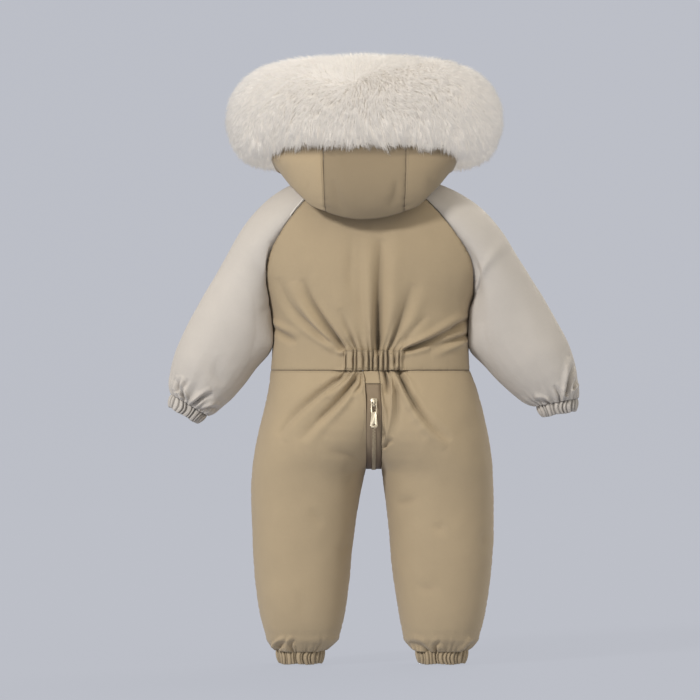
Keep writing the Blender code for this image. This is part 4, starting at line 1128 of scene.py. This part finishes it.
class SNOWSUIT_OT_sewing(Operator):
    """Sew the panels: draw the cloth in at its seams, gather it over the bands and press its creases"""

    bl_idname = "snowsuit.sewing"
    bl_label = "Sewing and creases"

    def execute(self, context):
        lines = [
            (line, seam)
            for seam in SEAMS
            for line in seam_lines(piece_of(seam.first), piece_of(seam.second), REGION[seam.second])
        ]
        body = caster(*(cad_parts[cloth.node] for cloth in CLOTHS if part_of(cloth.region) == "body"))
        for cloth in CLOTHS:
            piece = piece_of(cloth.node)
            points = places(piece)
            out = outward(cloth.region, points)
            part = part_of(cloth.region)
            lift = creased(part, points, out[:, 1], settings().cloth.creasing) + rolling(points)
            drawn, near = drawn_in(points, lines)
            lift += drawn
            hollow = np.zeros(len(points))
            sag = np.zeros(len(points))
            for band in BANDS:
                if cloth.region == "%s_%s" % (band.limb, band.side):
                    self.gather_over_band(band, points, lift, hollow, sag)
            if part == "body":
                self.gather_at_waist(cloth.region == "trunk", points, out, lift, hollow)
            facing = (directions(piece) * out).sum(axis=1)
            points = points + out * lift[:, None]
            points[:, 2] += sag
            if part == "hood":
                self.shape_hood(points)
            elif part == "arm":
                side = 1.0 if cloth.region.endswith("left") else -1.0
                self.lean_on_body(points, out[:, 0] * side, side, body)
            move_to(piece, points)
            # Painted shadow: darker backs of some pieces, and on the hood the shadow under the fur
            shadow = SHADED.get(cloth.node, 0.0) * ramp(-points[:, 1], -0.02, 0.05)
            if part == "hood":
                shadow = shadow + 1.3 * ramp(points[:, 2], 0.062, 0.075)
            # Painted shade in crease valleys, seam lines and gathers, by how deep the cloth is drawn in
            deep = np.maximum(-lift - 1.2 * MM, 0.0) / (5.5 * MM)
            mark(piece, "inside", 1.0 - ramp(facing, -0.5, -0.1))
            # Mark each point's painted shade for the cloth's colour
            mark(piece, "worn", np.clip(shadow + 0.22 * near + 0.5 * hollow**1.4 + 0.7 * deep, 0.0, 1.0))
            turns = np.arctan2(out[:, 0], -out[:, 1])
            lay_weave(piece, turns, ARM_RADIUS if part == "arm" else BODY_RADIUS, points[:, 2])
            stand_in(piece, finishes()[cloth.colour + "_shell"], cloth.node)
        return {"FINISHED"}

    @staticmethod
    def gather_over_band(band, points, lift, hollow, sag):
        """Gather and swell the cloth over a cuff or an ankle, and let an ankle's hem hang unevenly."""
        own = GATHERS[band.name]
        turn, above = round_band(band, points)
        above = np.maximum(above, 0.0)
        gathers = pleated(turn, band_pleats(band), above, own.height, 2.0 * math.pi, 1.25)
        lift -= own.depth * MM * gathers
        lift += own.swell * MM * np.exp(-(((above - 0.007) / 0.012) ** 2))
        hollow += gathers
        if band.name == "ankle":
            uneven = 0.5 + 0.5 * np.sin(3.0 * turn + 1.9 * np.sin(2.0 * turn))
            sag -= 3.6 * MM * uneven * ramp(-above, -0.010, 0.0)

    @staticmethod
    def gather_at_waist(trunk, points, out, lift, hollow):
        """Gather the cloth above and below the elastic casing, in a fan."""
        middle, half = GATHERED_WAIST
        above = np.maximum(np.abs(points[:, 2] - middle) - half, 0.0)
        fanned = points[:, 0] / (1.0 + above / 0.050)
        inside = ramp(CASING_HALF + 3.0 * MM - np.abs(fanned), 0.0, 0.004) * (out[:, 1] < 0)
        gathers = pleated(fanned, casing_pleats(), above, 0.044) * inside
        lift -= (5.2 if trunk else 3.4) * MM * gathers
        lift += 1.4 * MM * inside * np.exp(-((above / 0.016) ** 2))
        hollow += gathers * (1.0 if trunk else 0.6)

    @staticmethod
    def lean_on_body(points, inner, side, body):
        """Let the inside of a sleeve hang against the body under the arm."""
        level = ramp(inner, 0.12, 0.6)
        if side > 0.0:
            level = np.maximum(level, ramp(points[:, 2], -0.200, -0.150) * ramp(inner, -0.5, 0.05))
        level *= ramp(points[:, 2], -0.262, -0.218) * ramp(-points[:, 2], 0.060, 0.095)
        for i in np.flatnonzero(level > 0.02):
            hit = body(points[i] - (side * LEAN_BACK, 0.0, 0.0), (side, 0.0, 0.0))
            if hit is not None:
                gap = hit[3] - LEAN_BACK - 1.6 * MM
                far = min(max((gap - 0.014) / 0.022, 0.0), 1.0)
                points[i, 0] += side * level[i] * min(gap, 0.011) * (1.0 - far)

    @staticmethod
    def shape_hood(points):
        """Run the hood's rim up into the fur, let its bag hang and draw its lower corners in below it."""
        points[:, 2] += 16.0 * MM * ramp(points[:, 2], 0.030, 0.076)
        points[:, 2] -= 6.0 * MM * ramp(-points[:, 2], -0.045, 0.012) * ramp(-points[:, 1], 0.020, 0.070)
        across = points[:, 0] - HOOD_MIDDLE[0]
        widest = np.interp(points[:, 2], HOOD_HEIGHTS, HOOD_WIDTHS)
        widest = widest - 0.012 * ramp(points[:, 1], -0.01, 0.04) * ramp(-points[:, 2], -0.050, -0.030)
        over = np.maximum(np.abs(across) - widest, 0.0)
        points[:, 0] -= np.sign(across) * over * 0.85


class SNOWSUIT_OT_bands(Operator):
    """Gather the elasticated cuffs and ankles"""

    bl_idname = "snowsuit.bands"
    bl_label = "Cuffs and ankles"

    def execute(self, context):
        for band in BANDS:
            own = GATHERS[band.name]
            turn = np.linspace(-math.pi, math.pi, BAND_DIVISIONS, endpoint=False)
            depth = pleated(turn, band_pleats(band), np.zeros(BAND_DIVISIONS), 1.0, 2.0 * math.pi)
            rows = [(share, False) for share in BAND_OUTSIDE] + [(share, True) for share in BAND_INSIDE]
            rings = [self.ring(band, turn, depth, share, inner) for share, inner in rows]
            index = np.arange(len(rows) * BAND_DIVISIONS).reshape(len(rows), BAND_DIVISIONS)
            faces = ring_faces(np.concatenate((index, index[:1])))
            node = "%s_%s" % (band.name, band.side)
            piece = new_piece(node + "_band", array_mesh(node + "_band", np.concatenate(rings), faces))
            pick(piece)
            bpy.ops.object.mode_set(mode="EDIT")
            bpy.ops.mesh.select_all(action="SELECT")
            bpy.ops.mesh.normals_make_consistent(inside=False)
            bpy.ops.object.mode_set(mode="OBJECT")
            mark(piece, "inside", np.repeat([float(inner) for _, inner in rows], BAND_DIVISIONS))
            # Painted shade: the band darker in the valleys of its gathers
            mark(piece, "worn", np.tile(1.1 * depth**0.6, len(rows)))
            lay_weave(piece, np.tile(turn, len(rows)), BAND_RADIUS, places(piece) @ band_frame(band)[2])
            stand_in(piece, finishes()[own.colour + "_shell"], node)
            "cloth_%s_%s" % (own.cloth, band.side)
        return {"FINISHED"}

    @staticmethod
    def ring(band, turn, depth, share, inner):
        """One ring of a band's wall, a share of the way down it, on the outside or the inside."""
        across, out, down = band_frame(band)
        size = 1.0 - (1.0 - band.end) * (0.35 * share + 0.65 * share**2)
        sway = turn + 0.14 * math.sin(3.0 * share) * np.sin(2.0 * turn + 0.7)
        spoke = np.cos(sway)[:, None] * across + np.sin(sway)[:, None] * out
        reach = np.linalg.norm(spoke, axis=1)
        if inner:
            wall = reach * size - BAND_WALL - 2.4 * MM * depth
        else:
            swell = 1.5 * MM * math.sin(math.pi * min(share * 1.05, 1.0)) ** 0.7
            folds = 4.6 * MM * depth * (0.6 + 0.4 * math.sin(math.pi * (0.15 + 0.75 * share)))
            wall = reach * size + swell - 1.2 * MM * (1.0 - share) - folds
            if share > 0.96:
                wall -= 0.5 * MM
        middle = np.array(band.middle) + (share * band.drop + BAND_GAP) * down
        ripple = (0.7 * np.sin(5.0 * turn + 0.8) - 0.9 * depth) * MM * share
        return middle + spoke / reach[:, None] * wall[:, None] + ripple[:, None] * down


class SNOWSUIT_OT_casing(Operator):
    """Gather the elastic casing at the back of the waist"""

    bl_idname = "snowsuit.casing"
    bl_label = "Waist casing"

    def execute(self, context):
        cast = caster(piece_of("back_bodice"))
        columns, rows = CASING_DIVISIONS
        across = np.linspace(-CASING_HALF, CASING_HALF, columns)
        heights = np.linspace(CASING_LOW, CASING_HIGH, rows)
        depth = pleated(across, casing_pleats(), np.zeros(columns), 1.0)
        grid = np.empty((rows, columns, 3))
        for i, z in enumerate(heights):
            part = i / (rows - 1.0)
            edge = math.sin(math.pi * part) ** 0.5
            for j, x in enumerate(across):
                shift = 0.0008 * math.sin(9.0 * part) + 0.0017 * (2.0 * part - 1.0)
                sway = x + shift * math.sin(150.0 * x + 0.6)
                hit = cast((sway, -0.3, z), (0.0, 1.0, 0.0))
                ends = min((CASING_HALF - abs(x)) / 0.003, 1.0)
                rise = (0.9 + 4.6 * (0.45 + 0.55 * edge) * (1.0 - depth[j])) * (0.25 + 0.75 * ends)
                height = z + 0.0006 * math.sin(160.0 * x) * (2.0 * part - 1.0)
                grid[i, j] = (sway, hit[0].y - rise * MM, height)
        smooth(grid[:, :, 1], 2)
        index = np.arange(rows * columns).reshape(rows, columns)
        faces = np.stack((index[:-1, :-1], index[:-1, 1:], index[1:, 1:], index[1:, :-1]), axis=2)
        mesh = array_mesh("waist_casing", grid.reshape(-1, 3), faces.reshape(-1, 4))
        piece = new_piece("waist_casing", mesh)
        apply_modifier(piece, "SOLIDIFY", thickness=CASING_WALL, offset=-1.0)
        bpy.ops.object.shade_smooth_by_angle(angle=SMOOTH_ANGLE)
        points = places(piece)
        edges = np.exp(-(((np.abs(points[:, 2] + 0.245) - 0.0140) / 0.0007) ** 2))
        stitched = edges * (0.35 + 0.45 * np.sin(900.0 * points[:, 0]) ** 2)
        mark(piece, "inside", np.zeros(len(points)))
        # Painted shade in the valleys of the pleats, and dark stitch marks along both edges
        mark(piece, "worn", np.clip(np.interp(points[:, 0], across, depth) ** 0.8 * 1.1 + stitched, 0.0, 1.0))
        lay_weave(piece, points[:, 0] / BODY_RADIUS, BODY_RADIUS, points[:, 2])
        stand_in(piece, finishes()["khaki_shell"], "waist_elastic")
        return {"FINISHED"}


def zip_path(cast, spacing):
    """Points along the middle of the zip from its back to its front, with directions along and out."""
    found = []
    for angle in np.linspace(math.radians(-179.9), math.radians(89.0), 900):
        direction = np.array((0.0, math.cos(angle), math.sin(angle)))
        start = np.array((0.0, *ZIP_CENTRE)) + direction * 0.5
        guess = start[2] - direction[2] * 0.38
        start[0] = np.interp(guess, *ZIP_MIDDLE)
        hit = cast(start, -direction)
        if hit is not None:
            start[0] = np.interp(hit[0].z, *ZIP_MIDDLE)
            again = cast(start, -direction)
            if again is not None and again[3] < 0.5:
                found.append(np.array(again[0]))
    line = np.array(found)
    line = line[np.concatenate(([True], np.linalg.norm(np.diff(line, axis=0), axis=1) < 0.02))]
    line = even_line(line, spacing, 6)
    along = unit(np.gradient(line, axis=0))
    out = unit(np.cross(along, np.tile((1.0, 0.0, 0.0), (len(line), 1))))
    away = line - np.array((0.0, *ZIP_CENTRE))
    out *= np.sign((out * away).sum(axis=1))[:, None]
    return line, along, out


class SNOWSUIT_OT_zips(Operator):
    """Make the zip's tapes, its teeth, the cloth tab above it and its sliders"""

    bl_idname = "snowsuit.zips"
    bl_label = "Zips"

    def execute(self, context):
        own = settings().zips
        tape = ribbed_finish("zip_tape", tuple(own.tape), tuple(own.tape_low))
        tapes = []
        for node, length, area in (("zip_tape_back", 0.20, 0.0051), ("zip_tape_front", 0.47, 0.0118)):
            piece = cloth_piece(node, "woven_" + node, 2)
            points = places(piece)
            aside = np.abs(points[:, 0] - np.interp(points[:, 2], *ZIP_MIDDLE))
            # Painted shade: the tape under the teeth takes the dark low colour, so the gaps between teeth
            # look shaded
            under_teeth = ramp(-aside, -0.0026, -0.0016)
            if node == "zip_tape_back":
                under_teeth *= ramp(-points[:, 2], 0.312, 0.318)
            mark(piece, "low", np.maximum(ramp(-points[:, 2], *ZIP_DARKENS), under_teeth))
            lay_weave(piece, points[:, 0] / ZIP_RADIUS, ZIP_RADIUS, points[:, 2] + points[:, 1])
            stand_in(piece, tape, node)
            tapes.append(piece)
        line, along, out = zip_path(caster(*tapes), own.pitch / 2.0)
        pattern = self.tooth(own.pitch)
        back_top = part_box("slider_back")[0][2]
        front_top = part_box("slider_front")[0][2]
        behind = line[:, 1] < 0.0
        closed = np.where(behind, line[:, 2] < back_top + 1.0 * MM, line[:, 2] < front_top + 1.0 * MM)
        side = np.where(np.arange(len(line)) % 2, 1.0, -1.0)
        across = unit(np.cross(out, along))
        aside = side[:, None] * across
        origin = line + 0.55 * MM * out + 1.25 * MM * aside
        row = copies("zip_teeth_row", pattern, origin[closed], aside[closed], out[closed])
        discard(pattern)
        dress(row, moulded_finish("zip_teeth", tuple(own.teeth)), "zip_tape_front")
        line, across, out = line[closed], across[closed], out[closed]
        cords = [line + 0.35 * MM * out + sign * across * 3.1 * MM for sign in (-1.0, 1.0)]
        split = [part for cord in cords for part in self.parts(cord)]
        cord = tubes("zip_cords", split, [0.55 * MM] * len(split))
        dress(cord, tape, "zip_tape_front")
        points = places(cord)
        mark(cord, "low", ramp(-points[:, 2], *ZIP_DARKENS))
        lay_weave(cord, points[:, 0] / ZIP_RADIUS, ZIP_RADIUS, points[:, 2])
        tab = cloth_piece("back_zip_tab", "zip_tab_cloth", 3)
        points = places(tab)
        mark(tab, "inside", np.zeros(len(points)))
        # Darker along a line near the tab's lower edge
        mark(tab, "worn", np.exp(-(((points[:, 2] + 0.2815) / 0.0016) ** 2)))
        lay_weave(tab, points[:, 0] / ZIP_RADIUS, ZIP_RADIUS, points[:, 2])
        stand_in(tab, finishes()["khaki_shell"], "back_zip_tab")
        gold = metal_finish("pale_gold", tuple(own.gold))
        for face in ("back", "front"):
            stand_in(self.metal("slider_" + face), gold, "slider_" + face)
        for face in ("back", "front"):
            stand_in(self.metal("pull_" + face), gold, "pull_" + face, face + "_pull")
        return {"FINISHED"}

    @staticmethod
    def parts(line):
        """A line cut where it jumps."""
        breaks = np.nonzero(np.linalg.norm(np.diff(line, axis=0), axis=1) > 0.01)[0] + 1
        return [part for part in np.split(line, breaks) if len(part) > 3]

    @staticmethod
    def tooth(pitch):
        """One tooth: a bar with a wider head, rounded all over; its X points to its root."""
        deselect()
        bpy.ops.mesh.primitive_cube_add(size=1.0)
        pattern = bpy.context.object
        pattern.name = "zip_tooth_pattern"
        bpy.ops.object.mode_set(mode="EDIT")
        bpy.ops.transform.resize(value=(3.4 * MM, 0.30 * pitch, 1.4 * MM))
        bpy.ops.mesh.select_all(action="SELECT")
        bpy.ops.mesh.bevel(offset=0.28 * MM, segments=1, affect="EDGES")
        bpy.ops.object.mode_set(mode="OBJECT")
        points = places(pattern)
        points[:, 1] *= np.where(points[:, 0] < 0, 1.25, 0.8)
        move_to(pattern, points)
        return pattern

    @staticmethod
    def metal(node):
        """A slider or pull with its edges rounded."""
        work = bmesh.new()
        work.from_mesh(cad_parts[node].data)
        bmesh.ops.remove_doubles(work, verts=work.verts, dist=MERGE)
        bmesh.ops.dissolve_limit(work, angle_limit=math.radians(2), verts=work.verts, edges=work.edges)
        mesh = bpy.data.meshes.new("cast_" + node)
        work.to_mesh(mesh)
        work.free()
        piece = new_piece("cast_" + node, mesh)
        rounded = {"limit_method": "ANGLE", "angle_limit": math.radians(30), "use_clamp_overlap": True}
        apply_modifier(piece, "BEVEL", width=0.32 * MM, segments=2, **rounded)
        bpy.ops.object.shade_smooth_by_angle(angle=math.radians(35))
        return piece


class SNOWSUIT_OT_fur(Operator):
    """Grow the fur trim round the hood's edge, strand by strand"""

    bl_idname = "snowsuit.fur"
    bl_label = "Fur trim"

    def execute(self, context):
        own = settings().fur
        surface = cloth_piece("fur_trim", "fur_backing", 1, math.pi)
        points = places(surface)
        normals = directions(surface)
        corners = triangles(surface)
        noise.seed_set(FUR_SEED)
        rng = np.random.default_rng(FUR_SEED)
        edge = points[corners]
        areas = np.linalg.norm(np.cross(edge[:, 1] - edge[:, 0], edge[:, 2] - edge[:, 0]), axis=1)
        pull = 1.0 + 0.5 * (normals[corners].mean(axis=1)[:, 1] < 0.2)
        chosen = rng.choice(len(corners), own.strands, p=areas * pull / (areas * pull).sum())
        weights = rng.dirichlet((1.0, 1.0, 1.0), own.strands)
        tips = (edge[chosen] * weights[:, :, None]).sum(axis=1)
        tips[:, 0] += 0.030 * (tips[:, 0] - FUR_MIDDLE)
        out = unit((normals[corners][chosen] * weights[:, :, None]).sum(axis=1))
        paths, tone = self.strands(tips, out, own.length, rng)
        order = np.argsort(np.arctan2(tips[:, 0] - FUR_MIDDLE, -tips[:, 1]))
        pile = fur_finish("fur_pile", tuple(own.root), tuple(own.tip))
        for i, group in enumerate(np.array_split(order, FUR_GROUPS)):
            piece = self.grow("fur_pile_%d" % (i + 1), paths[group], tone[group], own.thickness, rng)
            dress(piece, pile, "fur_trim")
        move_to(surface, points - normals * 11.0 * MM)
        surface.data.shade_smooth()
        stand_in(surface, backing_finish("fur_skin", tuple(own.root)), "fur_trim")
        return {"FINISHED"}

    @staticmethod
    def strands(tips, out, length, rng):
        """Three points of each strand from root to tip, drawn into locks, and a shade for each lock."""
        count = len(tips)
        crown = np.array(FUR_CROWN)
        away = tips - crown
        near = np.exp(-np.linalg.norm(away, axis=1) / 0.060)[:, None]
        flow = unit(away) * (0.3 + near) + np.array((0.0, 0.0, -1.0)) * (1.0 - near)
        swirl = np.array([noise.noise_vector(Vector(p) * 22.0) for p in tips])
        flow = flow + 1.1 * swirl
        flow = flow - (flow * out).sum(axis=1)[:, None] * out
        flow = flow / np.maximum(np.linalg.norm(flow, axis=1), 0.35)[:, None]
        low = ramp(-out[:, 2], 0.25, 0.8)
        deep = length * 0.72
        edge = low * ramp(-tips[:, 1], 0.02, 0.08)
        reach = length * rng.uniform(0.82, 1.18, count) * (1.0 + 0.25 * low)
        locks = rng.choice(count, count // 26, replace=False)
        tree = KDTree(len(locks))
        for i, lock in enumerate(locks):
            tree.insert(tips[lock], i)
        tree.balance()
        own = locks[np.array([tree.find(p)[1] for p in tips])]
        longer = 0.55 * rng.uniform(0.0, 1.0, count)[own] ** 1.5 + 0.35 * rng.uniform(0.0, 1.0, count) ** 2
        reach = (reach * (1.0 + edge * longer))[:, None]
        flow = flow + 0.5 * edge[:, None] * np.array((0.0, -0.15, -1.0))
        lean = rng.uniform(0.35, 0.75, count)[:, None] * (1.0 - 0.5 * low[:, None])
        wild = unit(rng.normal(size=(count, 3)))
        root = tips - out * deep - flow * lean * reach * 0.55
        share = np.array((0.0, 0.5, 1.0))[None, :, None]
        paths = (
            root[:, None, :]
            + out[:, None, :] * reach[:, None, :] * (0.98 * share - 0.22 * share**2)
            + flow[:, None, :] * (lean * reach)[:, None, :] * (0.25 * share + 0.75 * share**2)
            + wild[:, None, :] * (reach * 0.10)[:, None, :] * np.sin(2.6 * share)
        )
        hold = (0.14 + 0.30 * low)[:, None, None] * share**1.5
        paths = paths * (1.0 - hold) + paths[own] * hold
        tone = rng.uniform(0.0, 1.0, count)[own] * 0.7 + rng.uniform(0.0, 0.3, count)
        return paths, tone

    @staticmethod
    def grow(name, paths, tone, thickness, rng):
        """Three-sided tapering strands as one mesh."""
        count = len(paths)
        heading = unit(paths[:, -1] - paths[:, 0])
        first = unit(np.cross(heading, rng.normal(size=(count, 3))))
        second = np.cross(heading, first)
        turn = np.arange(3) * 2.0 * math.pi / 3.0
        turn = turn[None, :, None]
        spokes = np.cos(turn) * first[:, None, :] + np.sin(turn) * second[:, None, :]
        widths = np.array((0.9, 0.8))[None, :, None, None] * thickness / 2.0
        rings = paths[:, :2, None, :] + widths * spokes[:, None, :, :]
        points = np.concatenate((rings.reshape(count, 6, 3), paths[:, 2:3]), axis=1)
        faces = [(0, 2, 1), (3, 4, 6), (4, 5, 6), (5, 3, 6)]
        for i in range(3):
            after = (i + 1) % 3
            faces += [(i, after, 3 + after), (i, 3 + after, 3 + i)]
        faces = np.array(faces)[None] + (np.arange(count) * 7)[:, None, None]
        piece = new_piece(name, array_mesh(name, points.reshape(-1, 3), faces.reshape(-1, 3)))
        mark(piece, "along", np.tile((0.0,) * 3 + (0.5,) * 3 + (1.0,), count))
        mark(piece, "tone", np.repeat(tone, 7))
        return piece


class SNOWSUIT_OT_stitching(Operator):
    """Lay the raglan piping, the dark cords that paint shadow in the seams' depths, and the rows of stitches
    """

    bl_idname = "snowsuit.stitching"
    bl_label = "Piping and stitching"

    def execute(self, context):
        own = settings().stitching
        pattern = self.stitch(own.length)
        deep, radii, piping, rows = [], [], [], []
        for seam in SEAMS:
            region = REGION[seam.second]
            cast = caster(piece_of(seam.first), piece_of(seam.second))
            for line in seam_lines(piece_of(seam.first), piece_of(seam.second), region):
                if len(line) < 8:
                    continue
                side = unit(np.cross(outward(region, line), unit(np.gradient(line, axis=0))))
                first = places(piece_of(seam.first)).mean(axis=0)
                turn = math.copysign(1.0, ((first - line.mean(axis=0)) * side.mean(axis=0)).sum())
                # A dark cord in the seam's depth: a painted shadow
                deep.append(on_cloth(line, region, cast, lift=-0.12 * MM))
                radii.append(seam.thread * MM)
                if seam.first.startswith("sleeve"):
                    piping.append(on_cloth(line, region, cast, turn * 1.5 * MM, 0.4 * MM))
                    rows.append(on_cloth(line, region, cast, turn * -3.6 * MM))
                elif seam.second.startswith("trouser") and "bodice" in seam.first:
                    rows.append(on_cloth(line, region, cast, turn * -2.6 * MM))
                else:
                    rows.append(on_cloth(line, region, cast, turn * 2.8 * MM))
        across = np.linspace(-CASING_HALF + 0.002, CASING_HALF - 0.002, 64)
        for z in (CASING_LOW + 2.0 * MM, CASING_HIGH - 2.0 * MM):
            rows.append(np.array([(x, -0.110, z) for x in across]))
        for sign in (-1.0, 1.0):
            rows += self.beside_zip(sign)
        khaki = [piece_of(cloth.node) for cloth in CLOTHS if cloth.colour == "khaki"]
        tree = tree_of(*khaki, bpy.data.objects["waist_casing"])
        # The seams' painted shadows
        dress(tubes("seam_depths", deep, radii), finishes()["seam_shadow"], "back_bodice")
        cords = tubes("raglan_piping", piping, [1.05 * MM] * len(piping))
        dress(cords, finishes()["cream_piping"], "sleeve_left")
        origins, alongs, outs = [], [], []
        for line in rows:
            line = even_line(line.copy(), own.spacing)
            for point, heading in zip(line, unit(np.gradient(line, axis=0))):
                near, normal, _, gap = tree.find_nearest(Vector(point))
                if near is not None and gap < 0.012:
                    origins.append(np.array(near + normal * 0.12 * MM))
                    outs.append(np.array(normal))
                    alongs.append(heading)
        outs = np.array(outs)
        alongs = np.array(alongs)
        alongs = unit(alongs - (alongs * outs).sum(axis=1)[:, None] * outs)
        stitches = copies("stitches", pattern, np.array(origins), alongs, outs)
        dress(stitches, finishes()["khaki_thread"], "back_bodice")
        discard(pattern)
        return {"FINISHED"}

    @staticmethod
    def stitch(length):
        """One stitch: a short thread, thinner at both ends."""
        deselect()
        bpy.ops.mesh.primitive_uv_sphere_add(segments=6, ring_count=4, radius=0.5)
        pattern = bpy.context.object
        pattern.name = "stitch_pattern"
        bpy.ops.object.mode_set(mode="EDIT")
        bpy.ops.mesh.select_all(action="SELECT")
        bpy.ops.transform.resize(value=(length, 0.62 * MM, 0.5 * MM))
        bpy.ops.object.mode_set(mode="OBJECT")
        return pattern

    @staticmethod
    def beside_zip(sign):
        """A row of stitches on the cloth beside the zip, behind and in front."""
        rows = []
        for heights, depths in (
            (np.linspace(-0.275, -0.400, 40), (-0.118,) * 4),
            (np.linspace(-0.400, -0.012, 110), (0.106, 0.119, 0.112, 0.092)),
        ):
            across = np.interp(heights, *ZIP_MIDDLE) + sign * 0.0150
            away = np.interp(heights, (-0.4, -0.3, -0.1, 0.0), depths)
            rows.append(np.stack((across, away, heights), axis=1))
        return rows


class SNOWSUIT_OT_stage(Operator):
    """Set up the floor, the lights and the camera"""

    bl_idname = "snowsuit.stage"
    bl_label = "Stage"

    def execute(self, context):
        own = settings().stage
        deselect()
        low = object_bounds()[0][2] - 0.8 * MM
        turn = np.linspace(0.0, 2.0 * math.pi, FLOOR_DIVISIONS, endpoint=False)
        rings = [
            np.stack((r * np.cos(turn), r * np.sin(turn), np.full(FLOOR_DIVISIONS, low + z)), axis=1)
            for r, z in FLOOR_RINGS
        ]
        points = np.concatenate(rings + [np.array(((0.0, 0.0, low),))])
        middle = len(FLOOR_RINGS) * FLOOR_DIVISIONS
        index = np.arange(middle).reshape(-1, FLOOR_DIVISIONS)
        quads = ring_faces(index)
        inner = np.stack((index[0], np.roll(index[0], -1), np.full(FLOOR_DIVISIONS, middle)), axis=1)
        faces = np.concatenate((quads[:, (0, 2, 1)], quads[:, (0, 3, 2)], inner))
        floor = new_piece("studio_floor", array_mesh("studio_floor", points, faces))
        floor.data.materials.append(studio_finish("studio_floor", tuple(own.backdrop)))
        floor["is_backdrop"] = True
        world = bpy.data.worlds.new("studio")
        world.use_nodes = True
        world.node_tree.nodes["Background"].inputs["Color"].default_value = (*own.ambient, 1.0)
        context.scene.world = world
        energies = {"key_light": own.key, "right_light": own.key * 0.22, "front_light": own.fill}
        for name, colour, soft, turns in LIGHTS:
            light = bpy.data.lights.new(name, "SUN")
            light.energy = energies[name]
            light.color = colour
            light.angle = math.radians(soft)
            lamp = bpy.data.objects.new(name, light)
            lamp.rotation_euler = [math.radians(t) for t in turns]
            context.scene.collection.objects.link(lamp)
        lens = bpy.data.cameras.new("camera")
        lens.sensor_width = 36.0
        lens.lens = 36.0 * own.distance / own.view_width
        camera = bpy.data.objects.new("camera", lens)
        camera.location = (VIEW_MIDDLE[0], -own.distance, VIEW_MIDDLE[1])
        camera.rotation_euler = (math.pi / 2.0, 0.0, 0.0)
        context.scene.collection.objects.link(camera)
        context.scene.camera = camera
        context.scene.view_settings.view_transform = "Standard"
        return {"FINISHED"}


STEPS = (
    *("bodice", "trousers", "sleeves", "hood", "sewing", "bands"),
    *("casing", "zips", "fur", "stitching", "stage"),
)


class SNOWSUIT_PT_panel(Panel):
    """The snowsuit's sizes and colours, and its steps in order"""

    bl_idname = "SNOWSUIT_PT_panel"
    bl_label = "Toddler Snowsuit"
    bl_space_type = "VIEW_3D"
    bl_region_type = "UI"
    bl_category = "Snowsuit"

    def draw(self, context):
        column = self.layout.column()
        for step in STEPS:
            column.operator("snowsuit." + step)
        for group in ("cloth", "fur", "zips", "stitching", "stage"):
            box = self.layout.box()
            own = getattr(context.scene.snowsuit, group)
            for key in own.__annotations__:
                box.prop(own, key)


CLASSES = (
    ClothSettings,
    FurSettings,
    ZipSettings,
    StitchSettings,
    StageSettings,
    SnowsuitSettings,
    SNOWSUIT_OT_bodice,
    SNOWSUIT_OT_trousers,
    SNOWSUIT_OT_sleeves,
    SNOWSUIT_OT_hood,
    SNOWSUIT_OT_sewing,
    SNOWSUIT_OT_bands,
    SNOWSUIT_OT_casing,
    SNOWSUIT_OT_zips,
    SNOWSUIT_OT_fur,
    SNOWSUIT_OT_stitching,
    SNOWSUIT_OT_stage,
    SNOWSUIT_PT_panel,
)


def register():
    for kind in CLASSES:
        bpy.utils.register_class(kind)
    bpy.types.Scene.snowsuit = PointerProperty(type=SnowsuitSettings)


def unregister():
    del bpy.types.Scene.snowsuit
    for kind in reversed(CLASSES):
        bpy.utils.unregister_class(kind)


def main():
    register()
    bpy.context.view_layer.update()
    for step in STEPS:
        getattr(bpy.ops.snowsuit, step)()


if __name__ == "__main__":
    main()
